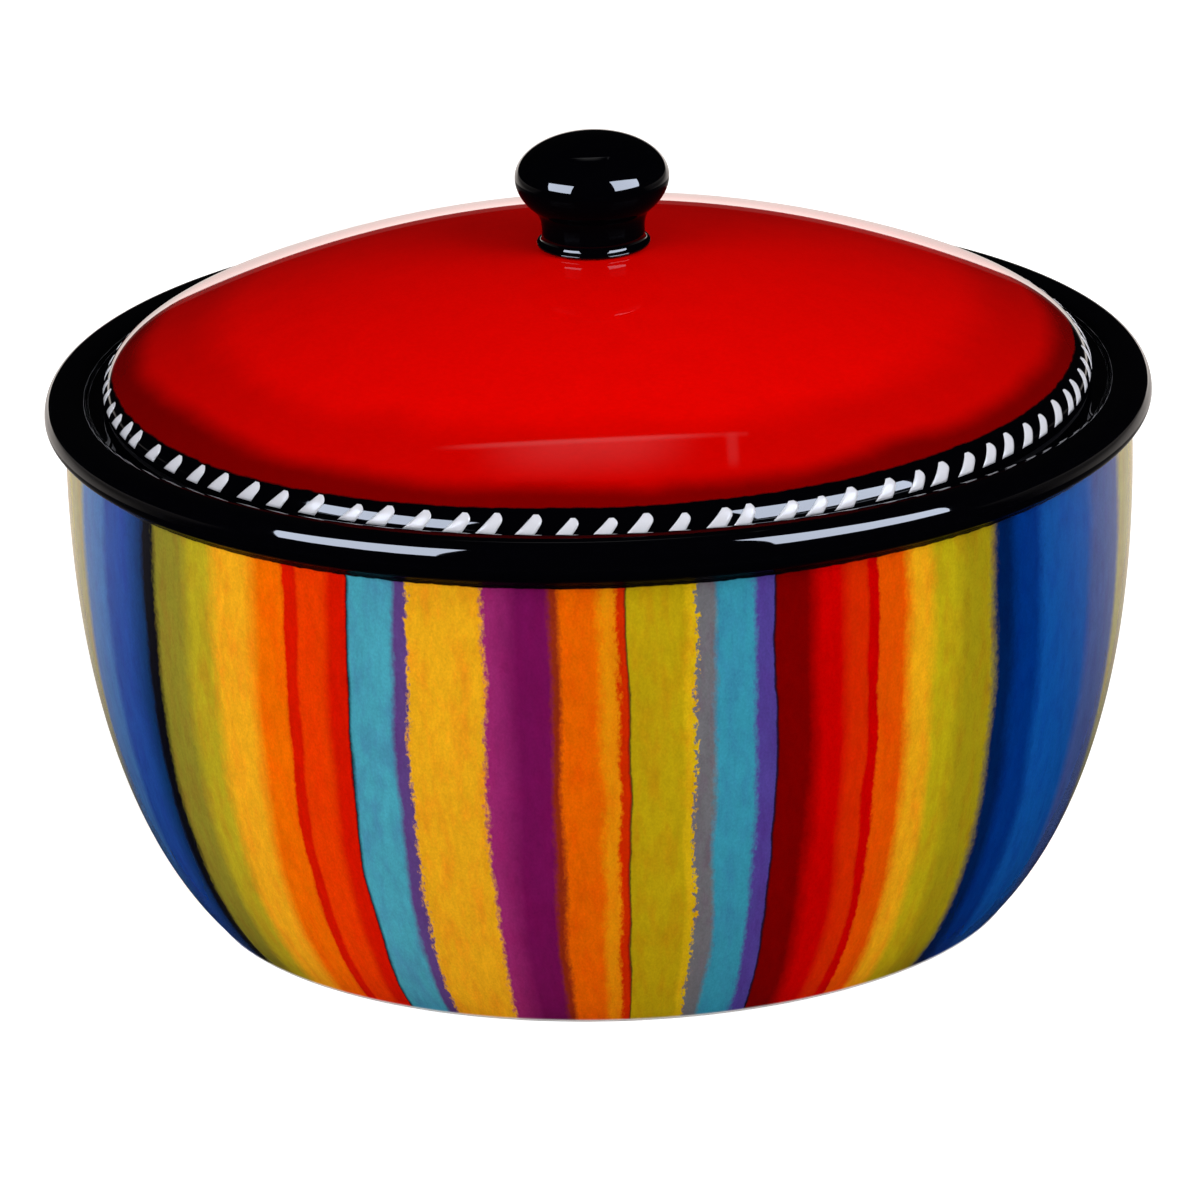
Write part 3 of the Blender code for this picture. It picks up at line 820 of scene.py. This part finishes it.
def stripe_group(colours):
    """A node group that looks an angle up in the table of stripes.

    Each edge gives two colour stops, half its blend before and after it, and their alpha
    holds how ragged the edge is. A ramp takes up to 32 stops, so the circle is cut into
    sectors of 30, which meet in the middle of a stripe.
    """
    ramp_stops = 30
    stops = []
    for i, (start, glaze, blend, ragged) in enumerate(STRIPES):
        for offset, key in ((-0.5, STRIPES[i - 1][1]), (0.5, glaze)):
            stops.append((start + offset * blend, (*getattr(colours, key), ragged)))

    group = bpy.data.node_groups.new("stripe table", "ShaderNodeTree")
    group.interface.new_socket("Angle", in_out="INPUT", socket_type="NodeSocketFloat")
    group.interface.new_socket("Colour", in_out="OUTPUT", socket_type="NodeSocketColor")
    group.interface.new_socket("Raggedness", in_out="OUTPUT",
                               socket_type="NodeSocketFloat")
    angle = add_node(group, "NodeGroupInput")
    tint = ragged = None
    for first in range(0, len(stops), ramp_stops):
        part = stops[first:first + ramp_stops]
        low, high = part[0][0], part[-1][0]
        share = add_node(group, "ShaderNodeMapRange",
                         {"Value": angle, "From Min": low, "From Max": high})
        ramp = add_node(group, "ShaderNodeValToRGB", (share,), out=None)
        elements = ramp.color_ramp.elements
        elements[0].color, elements[1].color = part[0][1], part[-1][1]
        for place, value in part[1:-1]:
            elements.new((place - low) / (high - low)).color = value
        if tint is None:
            tint, ragged = ramp.outputs
            continue
        cut = 0.5 * (stops[first - 1][0] + low)
        past = add_node(group, "ShaderNodeMath", (angle, cut), operation="GREATER_THAN")
        tint = add_node(group, "ShaderNodeMix", {0: past, 6: tint, 7: ramp.outputs[0]},
                        out=2, data_type="RGBA")
        ragged = add_node(group, "ShaderNodeMix", {0: past, 2: ragged, 3: ramp.outputs[1]})
    add_node(group, "NodeGroupOutput", (tint, ragged), out=None)
    return group


def striped_glaze(colours, stripes, pot):
    """Underglaze stripes brushed on bisque, under a thin glossy clear glaze.

    Glazed earthenware: the eye gets full colour with grain, brush marks and soft or torn
    edges, and a sheen only where it looks along the wall, so the IOR is a low 1.2.
    """
    material, tree, shader = new_glaze("glossy clear glaze over brushed stripes",
                                       Roughness=0.05, IOR=1.2)
    degrees, height, flat = round_coordinates(tree)
    along = wall_coordinates(tree, flat, height, stretch=3.0)
    teeth = wall_coordinates(tree, flat, height, stretch=1.4)
    line_height = pot.rim_height - pot.paint_line

    # Towards the foot the stripes lean by up to two degrees, most on the left, and they
    # wander by about half a degree
    side_lean, all_lean, wander_range = -1.5, 0.6, 1.8
    share = add_node(tree, "ShaderNodeMapRange",
                     {"Value": height, "From Min": 0.0, "From Max": 0.125,
                      "To Min": 1.0, "To Max": 0.0})
    turn = add_node(tree, "ShaderNodeMath", (degrees, math.pi / 180.0),
                    operation="MULTIPLY")
    side = add_node(tree, "ShaderNodeMath", (turn,), operation="SINE")
    lean = add_node(tree, "ShaderNodeMath", (side, side_lean, all_lean),
                    operation="MULTIPLY_ADD")
    drift = add_node(tree, "ShaderNodeMath", (lean, share), operation="MULTIPLY")
    leaning = add_node(tree, "ShaderNodeMath", (degrees, drift), operation="ADD")
    slow = add_node(tree, "ShaderNodeTexNoise",
                    {"Vector": along, "Scale": 1.0 / 0.010, "Detail": 3.0})
    wander = add_node(tree, "ShaderNodeMath", (slow, wander_range, -0.5 * wander_range),
                      operation="MULTIPLY_ADD")
    drawn = add_node(tree, "ShaderNodeMath", (leaning, wander), operation="ADD")

    # Torn edges: dry-brush noise, 1.1 mm wide and 1.5 mm tall, moves the angle at which
    # the stripes are looked up again, by the raggedness found at the plain angle
    tear_range = 5.4
    table = stripe_group(stripes)
    plain = add_node(tree, "ShaderNodeGroup", (), out=None, node_tree=table)
    tree.links.new(drawn, plain.inputs[0])
    tear = add_node(tree, "ShaderNodeTexNoise",
                    {"Vector": teeth, "Scale": 1.0 / 0.0011, "Detail": 4.0,
                     "Roughness": 0.65})
    tear = add_node(tree, "ShaderNodeMath", (tear, tear_range, -0.5 * tear_range),
                    operation="MULTIPLY_ADD")
    torn = add_node(tree, "ShaderNodeMath", (tear, plain.outputs[1], drawn),
                    operation="MULTIPLY_ADD")
    painted = add_node(tree, "ShaderNodeGroup", (), out=None, node_tree=table)
    tree.links.new(torn, painted.inputs[0])

    # Pigment: 0.5 mm speckle, brush marks 1.6 mm wide and 5 mm tall, broad and warm clouds
    tint = brushed_value(tree, painted.outputs[0], teeth, ((0.0005, 0.42), (0.0040, 0.14)))
    tint = brushed_value(tree, tint, along, ((0.0016, 0.30), (0.0090, 0.20)))
    cloud = add_node(tree, "ShaderNodeTexNoise",
                     {"Vector": along, "Scale": 1.0 / 0.004, "Detail": 4.0,
                      "Roughness": 0.65})
    warm = add_node(tree, "ShaderNodeMapRange",
                    {"Value": cloud, "From Min": 0.45, "From Max": 0.70, "To Max": 0.6})
    tint = add_node(tree, "ShaderNodeMix", {0: warm, 6: tint, 7: (1.0, 0.6, 0.85, 1.0)},
                    out=2, data_type="RGBA", blend_type="MULTIPLY")

    # Paint thins over the last millimetre before the bare foot
    thin = add_node(tree, "ShaderNodeMapRange",
                    {"Value": height, "From Min": 0.0004, "From Max": 0.0012,
                     "To Min": 0.5, "To Max": 0.0})
    tint = add_node(tree, "ShaderNodeMix", {0: thin, 6: tint, 7: (*colours.clay, 1.0)},
                    out=2, data_type="RGBA")

    # The black of the rim runs over the stripes' upper ends, least at the front, with a
    # blurred edge 0.3 mm wide
    edge = add_node(tree, "ShaderNodeTexNoise",
                    {"Vector": along, "Scale": 1.0 / 0.003, "Detail": 2.0})
    wavy = add_node(tree, "ShaderNodeMath", (edge, 0.0008, height),
                    operation="MULTIPLY_ADD")
    facing = add_node(tree, "ShaderNodeMath", (turn,), operation="COSINE")
    wavy = add_node(tree, "ShaderNodeMath", (facing, -0.0009, wavy),
                    operation="MULTIPLY_ADD")
    tint = painted_over(tree, tint, colours.black, wavy, line_height, 0.0003)
    tree.links.new(tint, shader.inputs["Base Color"])
    return material


def black_glaze(colours):
    """Glossy black glaze: deep black under a mirror-smooth glassy coat with faint ripples.

    The eye gets crisp pictures of the softboxes on pure black, so the coat mirrors only
    1.5 % head-on, IOR 1.28.
    """
    material, tree, shader = new_glaze("glossy black glaze", Roughness=0.03, IOR=1.28)
    place = add_node(tree, "ShaderNodeTexCoord", out="Object")
    tint = brushed_value(tree, (*colours.black, 1.0), place, ((0.004, 0.5),))
    tree.links.new(tint, shader.inputs["Base Color"])
    ripple = add_node(tree, "ShaderNodeTexNoise",
                      {"Vector": place, "Scale": 1.0 / 0.011, "Detail": 1.0})
    bump = add_node(tree, "ShaderNodeBump",
                    {"Strength": 0.06, "Distance": 0.001, "Height": ripple})
    tree.links.new(bump, shader.inputs["Normal"])
    return material


def shade_black_glaze(colours):
    """The same black, barely mirroring: painted shade in the knob's throat and the cove under
    the rim.

    The eye gets a plain dark hollow there with hardly any mirroring, so the IOR is 1.04.
    """
    material, _, shader = new_glaze("thin black glaze", Roughness=0.1, IOR=1.04)
    shader.inputs["Base Color"].default_value = (*colours.black, 1.0)
    return material


def red_glaze(colours, lid):
    """Brushed red glaze on the dome, with the black border band painted round it.

    Glazed earthenware: bright red in the middle, a second coat outside it and a thick dark
    one near the band, each laid on by turning the lid under a broad brush, so the eye gets
    short concentric streaks under sharp lamp reflections.
    """
    material, tree, shader = new_glaze("glossy brushed red glaze", Roughness=0.03,
                                       IOR=1.28)
    degrees, _, flat = round_coordinates(tree)
    reach = add_node(tree, "ShaderNodeVectorMath", (flat,), out="Value",
                     operation="LENGTH")
    place = add_node(tree, "ShaderNodeTexCoord", out="Object")

    # Each coat outside the crown: where it starts, over what width it fades in, how far
    # that wanders, and its colour
    wide = add_node(tree, "ShaderNodeTexNoise",
                    {"Vector": place, "Scale": 1.0 / 0.035, "Detail": 3.0,
                     "Roughness": 0.55})
    tint = (*colours.red, 1.0)
    for radius, width, wave, coat in ((0.096, 0.016, 0.016, colours.red_ring),
                                      (0.1147, 0.008, 0.007, colours.red_edge)):
        waved = add_node(tree, "ShaderNodeMath", (wide, wave, reach),
                         operation="MULTIPLY_ADD")
        tint = painted_over(tree, tint, coat, waved, radius + 0.5 * (wave - width), width,
                            "SMOOTHSTEP")

    # Streaks of the brush, 1 mm wide and 2 to 3 mm long near the edge, run round the dome
    turn = add_node(tree, "ShaderNodeMath", (degrees, 0.0008), operation="MULTIPLY")
    streak = add_node(tree, "ShaderNodeCombineXYZ", (reach, turn, 0.0))
    tint = brushed_value(tree, tint, streak, ((0.0011, 0.12),))
    tint = brushed_value(tree, tint, place, ((0.0008, 0.08), (0.007, 0.10)))

    # The black band's edge is blurred over 0.4 mm, and on the left the black was painted
    # up to 2 mm lower
    band = add_node(tree, "ShaderNodeTexNoise",
                    {"Vector": place, "Scale": 1.0 / 0.004, "Detail": 2.0})
    waved = add_node(tree, "ShaderNodeMath", (band, 0.0008, reach),
                     operation="MULTIPLY_ADD")
    x = add_node(tree, "ShaderNodeSeparateXYZ", (place,), out="X")
    lower = add_node(tree, "ShaderNodeMapRange",
                     {"Value": x, "From Min": -0.095, "From Max": -0.015,
                      "To Min": -0.0019, "To Max": 0.0001})
    waved = add_node(tree, "ShaderNodeMath", (waved, lower), operation="ADD")
    tint = painted_over(tree, tint, colours.black, waved, lid.border_paint - 0.0002, 0.0004)
    tree.links.new(tint, shader.inputs["Base Color"])
    return material


def clear_glaze(colours):
    """Cream earthenware under clear glaze: pale, with a soft gloss and faint iron specks."""
    material, tree, shader = new_glaze("clear glaze on cream earthenware", Roughness=0.08,
                                       IOR=1.28)
    place = add_node(tree, "ShaderNodeTexCoord", out="Object")
    tint = brushed_value(tree, (*colours.inside, 1.0), place,
                         ((0.0007, 0.06), (0.012, 0.05)))
    tree.links.new(tint, shader.inputs["Base Color"])
    return material


def bare_clay(colours):
    """Fired clay wiped free of glaze: matt, slightly gritty and buff white.

    Its grit is drawn 0.4 mm wide, coarser than the real one, so that it shows.
    """
    material, tree, shader = new_glaze("bare fired clay", Roughness=0.8, IOR=1.5)
    place = add_node(tree, "ShaderNodeTexCoord", out="Object")
    tint = brushed_value(tree, (*colours.clay, 1.0), place, ((0.0005, 0.16), (0.004, 0.1)))
    tree.links.new(tint, shader.inputs["Base Color"])
    grit = add_node(tree, "ShaderNodeTexNoise",
                    {"Vector": place, "Scale": 1.0 / 0.0004, "Detail": 2.0})
    bump = add_node(tree, "ShaderNodeBump",
                    {"Strength": 0.3, "Distance": 0.0002, "Height": grit})
    tree.links.new(bump, shader.inputs["Normal"])
    return material


def white_enamel(colours):
    """Opaque white enamel brushed on the black band: slightly raised, glossy, cool white."""
    material, tree, shader = new_glaze("white enamel", Roughness=0.12, IOR=1.2)
    place = add_node(tree, "ShaderNodeTexCoord", out="Object")
    tint = brushed_value(tree, (*colours.white, 1.0), place, ((0.0009, 0.06),))
    tree.links.new(tint, shader.inputs["Base Color"])
    return material


# ---------------------------------------------------------------- stage

def soft_lamp(name, centre, shine, roll, size, size_y, radiance):
    """A rectangular lamp: axes right = shine x Z and up = right x shine, turned by roll.

    Its power is radiance times pi times its area.
    """
    shine = Vector(shine).normalized()
    right = shine.cross(Vector((0.0, 0.0, 1.0))).normalized()
    up = right.cross(shine)
    across = math.cos(roll) * right + math.sin(roll) * up
    up = -math.sin(roll) * right + math.cos(roll) * up
    light = bpy.data.lights.new(name, "AREA")
    light.shape = "RECTANGLE"
    light.size, light.size_y = size, size_y
    light.energy = radiance * math.pi * size * size_y
    lamp = bpy.data.objects.new(name, light)
    matrix = Matrix((across, up, -shine)).transposed().to_4x4()
    matrix.translation = centre
    lamp.matrix_world = matrix
    lamp.visible_camera = False
    bpy.context.scene.collection.objects.link(lamp)
    return lamp


def softbox(name, centre, shine, roll, size, size_y, studio):
    """A softbox in two lamps: one lights the colours, and the glazes mirror the other.

    The mirrored one hangs a little in front, because a ray stops at the first lamp it meets.
    """
    light = soft_lamp(name + " light", centre, shine, roll, size, size_y, studio.softbox)
    light.visible_glossy = False
    centre = centre + GLARE_LEAD * Vector(shine)
    glare = soft_lamp(name + " glare", centre, shine, roll, size, size_y, studio.glare)
    glare.data.color = studio.glare_tint
    glare.visible_diffuse = False


def direction(azimuth, elevation):
    """Unit direction at an azimuth from the camera's side towards +X, and an elevation."""
    azimuth, elevation = math.radians(azimuth), math.radians(elevation)
    return Vector((math.sin(azimuth) * math.cos(elevation),
                   -math.cos(azimuth) * math.cos(elevation), math.sin(elevation)))


def stage_material(name):
    """A material whose node tree is empty."""
    material = bpy.data.materials.new(name)
    material.use_nodes = True
    material.node_tree.nodes.clear()
    return material, material.node_tree


def floor_paper():
    """White background paper: white to the camera, with the pot's soft shadow on it.

    In reflections it is dark under the camera and brightens behind and beside the pot by
    y + |x| / 5, first over 3 to 34 cm and then more slowly up to 2 m. It darkens again to
    the sides, by |x| - y / 3, and ends 2.6 m behind the pot.
    """
    material, tree = stage_material("white background paper")
    rays = add_node(tree, "ShaderNodeLightPath", out=None).outputs
    place = add_node(tree, "ShaderNodeTexCoord", out="Object")
    x, y = add_node(tree, "ShaderNodeSeparateXYZ", (place,), out=None).outputs[:2]
    beside = add_node(tree, "ShaderNodeMath", (x,), operation="ABSOLUTE")
    back = add_node(tree, "ShaderNodeMath", (beside, 0.2, y), operation="MULTIPLY_ADD")
    near = add_node(tree, "ShaderNodeMapRange",
                    {"Value": back, "From Min": 0.03, "From Max": 0.34, "To Min": 0.01,
                     "To Max": 0.75}, interpolation_type="SMOOTHSTEP")
    far = add_node(tree, "ShaderNodeMapRange",
                   {"Value": back, "From Min": 0.5, "From Max": 2.0, "To Max": 1.1})
    aside = add_node(tree, "ShaderNodeMath", (y, -1.0 / 3.0, beside),
                     operation="MULTIPLY_ADD")
    wide = add_node(tree, "ShaderNodeMapRange",
                    {"Value": aside, "From Min": 0.15, "From Max": 0.75, "To Min": 1.0,
                     "To Max": 0.2}, interpolation_type="SMOOTHSTEP")
    end = add_node(tree, "ShaderNodeMapRange",
                   {"Value": y, "From Min": 2.4, "From Max": 2.6, "To Min": 1.0,
                    "To Max": 0.03})
    wide = add_node(tree, "ShaderNodeMath", (wide, end), operation="MULTIPLY")
    lit = add_node(tree, "ShaderNodeMath", (near, far), operation="ADD")
    lit = add_node(tree, "ShaderNodeMath", (lit, wide), operation="MULTIPLY")
    matt = add_node(tree, "ShaderNodeBsdfDiffuse", {"Color": (0.85, 0.85, 0.85, 1.0)})
    paper = add_node(tree, "ShaderNodeBsdfDiffuse", {"Color": (0.9, 0.9, 0.9, 1.0)})
    glow = add_node(tree, "ShaderNodeEmission", {"Strength": 0.72})
    seen = add_node(tree, "ShaderNodeAddShader", (paper, glow))
    mirrored = add_node(tree, "ShaderNodeEmission",
                        {"Color": (1.0, 0.92, 0.87, 1.0), "Strength": lit})
    shader = add_node(tree, "ShaderNodeMixShader", (rays["Is Glossy Ray"], matt, mirrored))
    either = add_node(tree, "ShaderNodeMath",
                      (rays["Is Camera Ray"], rays["Is Transmission Ray"]),
                      operation="MAXIMUM")
    shader = add_node(tree, "ShaderNodeMixShader", (either, shader, seen))
    add_node(tree, "ShaderNodeOutputMaterial", (shader,), out=None)
    return material


def overhead_sheet(radiance):
    """White sheet over the pot, seen only in the glaze: a glow with a brighter far edge.

    Its far edge bows away at both ends, at y = 0.721 + 0.72 (x + 0.03)^2. The sheet glows
    a little in front of that edge, most in the middle, and there is a short line of light
    on its right.
    """
    material, tree = stage_material("overhead sheet")
    place = add_node(tree, "ShaderNodeTexCoord", out="Object")
    x, y = add_node(tree, "ShaderNodeSeparateXYZ", (place,), out=None).outputs[:2]
    bow = add_node(tree, "ShaderNodeMath", (x, 0.03), operation="ADD")
    bow = add_node(tree, "ShaderNodeMath", (bow, bow), operation="MULTIPLY")
    back = add_node(tree, "ShaderNodeMath", (bow, -0.72, y), operation="MULTIPLY_ADD")

    def product(*spans):
        """The product of smooth steps, each (value, from, to, start, end)."""
        result = radiance
        for value, low, high, start, end in spans:
            step = add_node(tree, "ShaderNodeMapRange",
                            {"Value": value, "From Min": low, "From Max": high,
                             "To Min": start, "To Max": end},
                            interpolation_type="SMOOTHSTEP")
            result = add_node(tree, "ShaderNodeMath", (result, step), operation="MULTIPLY")
        return result

    body = product((back, 0.49, 0.70, 0.0, 0.7), (back, 0.715, 0.735, 1.0, 0.0),
                   (x, -0.34, -0.08, 0.0, 1.0), (x, 0.04, 0.27, 1.0, 0.0))
    rim = product((back, 0.695, 0.716, 0.0, 1.0), (back, 0.722, 0.730, 1.0, 0.0),
                  (x, -0.42, -0.25, 0.0, 1.0), (x, 0.15, 0.31, 1.0, 0.3))
    line = product((x, 0.300, 0.315, 0.0, 0.5), (x, 0.325, 0.340, 1.0, 0.0),
                   (back, 0.52, 0.60, 0.0, 1.0), (back, 0.70, 0.74, 1.0, 0.0))
    glow = add_node(tree, "ShaderNodeMath", (body, rim), operation="ADD")
    glow = add_node(tree, "ShaderNodeMath", (glow, line), operation="ADD")
    shader = add_node(tree, "ShaderNodeEmission", {"Strength": glow})
    add_node(tree, "ShaderNodeOutputMaterial", (shader,), out=None)
    return material


def stage_sheet(name, points, material):
    """A flat stage piece, one face round the given points."""
    mesh = bpy.data.meshes.new(name)
    mesh.from_pydata(points.tolist(), [], [tuple(range(len(points)))])
    mesh.materials.append(material)
    sheet = bpy.data.objects.new(name, mesh)
    bpy.context.scene.collection.objects.link(sheet)
    return sheet


def studio_world(ambient):
    """White to the camera, a dim room in reflections, and soft light from all round."""
    world = bpy.data.worlds.new("studio")
    world.use_nodes = True
    tree = world.node_tree
    rays = add_node(tree, "ShaderNodeLightPath", out=None).outputs
    seen = add_node(tree, "ShaderNodeMath",
                    (rays["Is Camera Ray"], rays["Is Transmission Ray"]),
                    operation="MAXIMUM")
    level = add_node(tree, "ShaderNodeMath", (seen, 1.0 - ambient, ambient),
                     operation="MULTIPLY_ADD")
    level = add_node(tree, "ShaderNodeMath",
                     (rays["Is Glossy Ray"], ROOM_LEVEL - ambient, level),
                     operation="MULTIPLY_ADD")
    tree.links.new(level, tree.nodes["Background"].inputs["Strength"])
    tree.nodes["Background"].inputs["Color"].default_value = (1.0, 1.0, 1.0, 1.0)
    bpy.context.scene.world = world


# ---------------------------------------------------------------- operators

class BEANPOT_OT_pot(Operator):
    """Turn the pot with its black rolled rim, striped wall and bare foot"""

    bl_idname = "beanpot.pot"
    bl_label = "Make Pot"

    def execute(self, context):
        scene = context.scene
        pot, colours = scene.beanpot_pot, scene.beanpot_glazes
        # The third glaze barely mirrors: painted shade under the roll and in its cove
        glazes = [clear_glaze(colours), black_glaze(colours), shade_black_glaze(colours),
                  striped_glaze(colours, scene.beanpot_stripes, pot), bare_clay(colours)]
        piece = turned_piece("glazed_pot", pot_section(pot), WALL_FACES, glazes,
                             lambda points: raised_front(points, pot))
        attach(piece, "pot")
        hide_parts("pot")
        return {"FINISHED"}


class BEANPOT_OT_lid(Operator):
    """Turn the lid with its red dome, black border band, seat and flange"""

    bl_idname = "beanpot.lid"
    bl_label = "Make Lid"

    def execute(self, context):
        lid, colours = context.scene.beanpot_lid, context.scene.beanpot_glazes
        glazes = [red_glaze(colours, lid), bare_clay(colours), clear_glaze(colours)]
        piece = turned_piece("glazed_lid", lid_section(lid), WALL_FACES, glazes)
        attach(piece, "lid")
        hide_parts("lid")
        return {"FINISHED"}


class BEANPOT_OT_knob(Operator):
    """Turn the mushroom knob"""

    bl_idname = "beanpot.knob"
    bl_label = "Make Knob"

    def execute(self, context):
        scene = context.scene
        colours = scene.beanpot_glazes
        black = black_glaze(colours)
        # The second glaze barely mirrors: painted shade in the throat under the head
        glazes = [black, shade_black_glaze(colours), black, bare_clay(colours)]
        section = knob_section(scene.beanpot_knob, scene.beanpot_lid)
        piece = turned_piece("glazed_knob", section, KNOB_FACES, glazes)
        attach(piece, "lid")
        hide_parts("knob")
        return {"FINISHED"}


class BEANPOT_OT_dashes(Operator):
    """Lay the row of white enamel dashes on the lid's border band"""

    bl_idname = "beanpot.dashes"
    bl_label = "Make Dashes"

    def execute(self, context):
        points, faces = dash_patches(context.scene.beanpot_lid)
        glaze = white_enamel(context.scene.beanpot_glazes)
        piece = mesh_piece("border_dashes", points, faces, [glaze], np.zeros(len(faces)))
        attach(piece, "lid")
        return {"FINISHED"}


class BEANPOT_OT_stage(Operator):
    """Set up the floor, the lamps, the world and the camera"""

    bl_idname = "beanpot.stage"
    bl_label = "Make Stage"

    def execute(self, context):
        scene = context.scene
        studio = scene.beanpot_studio
        angle = np.linspace(0.0, 2.0 * np.pi, 64, endpoint=False)
        points = np.stack([PAPER_RADIUS * np.cos(angle), PAPER_RADIUS * np.sin(angle),
                           np.full(len(angle), -PAPER_DROP)], axis=1)
        stage_sheet("floor", points, floor_paper())
        left, right, near, far, height = -0.44, 0.36, 0.48, 0.94, 1.67
        corners = np.array([(left, near, height), (left, far, height),
                            (right, far, height), (right, near, height)])
        sheet = stage_sheet("overhead sheet", corners, overhead_sheet(studio.sheet))
        sheet.visible_camera = sheet.visible_diffuse = sheet.visible_shadow = False

        for name, azimuth, elevation, shine, roll, width, tall in SOFTBOXES:
            centre = Vector(LID_CENTRE) + SOFTBOX_DISTANCE * direction(azimuth, elevation)
            softbox(name, centre, shine, math.radians(roll), width, tall, studio)
        studio_world(studio.ambient)

        camera = bpy.data.cameras.new("camera")
        camera.sensor_width = 36.0
        camera.lens = studio.lens
        camera.clip_end = 100.0
        eye = bpy.data.objects.new("camera", camera)
        target = Vector(studio.target)
        back = direction(0.0, math.degrees(studio.elevation))
        turn = (-back).to_track_quat("-Z", "Y").to_matrix()
        turn = turn @ Matrix.Rotation(-studio.roll, 3, "Z")
        eye.matrix_world = Matrix.Translation(target + studio.distance * back) @ turn.to_4x4()
        scene.collection.objects.link(eye)
        scene.camera = eye
        scene.view_settings.view_transform = "Standard"
        return {"FINISHED"}


class BEANPOT_PT_panel(Panel):
    """Sizes, colours and operators of the bean pot"""

    bl_idname = "BEANPOT_PT_panel"
    bl_label = "Bean Pot"
    bl_space_type = "VIEW_3D"
    bl_region_type = "UI"
    bl_category = "Bean Pot"

    def draw(self, context):
        for name, group in GROUPS:
            box = self.layout.box()
            box.label(text=group.__doc__)
            settings = getattr(context.scene, name)
            for key in group.__annotations__:
                box.prop(settings, key)
        for operator in OPERATORS:
            self.layout.operator(operator.bl_idname)


GROUPS = (("beanpot_pot", PotSizes), ("beanpot_lid", LidSizes),
          ("beanpot_knob", KnobSizes), ("beanpot_glazes", GlazeColours),
          ("beanpot_stripes", StripeColours), ("beanpot_studio", StudioSettings))
OPERATORS = (BEANPOT_OT_pot, BEANPOT_OT_lid, BEANPOT_OT_knob, BEANPOT_OT_dashes,
             BEANPOT_OT_stage)


def register():
    """Register the classes and hang the settings on the scene."""
    for name, group in GROUPS:
        bpy.utils.register_class(group)
        setattr(bpy.types.Scene, name, PointerProperty(type=group))
    for item in OPERATORS + (BEANPOT_PT_panel,):
        bpy.utils.register_class(item)


def unregister():
    """Undo register."""
    for item in reversed(OPERATORS + (BEANPOT_PT_panel,)):
        bpy.utils.unregister_class(item)
    for name, group in reversed(GROUPS):
        delattr(bpy.types.Scene, name)
        bpy.utils.unregister_class(group)


def main():
    """Make every piece and the stage."""
    register()
    bpy.ops.beanpot.pot()
    bpy.ops.beanpot.lid()
    bpy.ops.beanpot.knob()
    bpy.ops.beanpot.dashes()
    bpy.ops.beanpot.stage()
    bpy.context.view_layer.update()


if __name__ == "__main__":
    main()
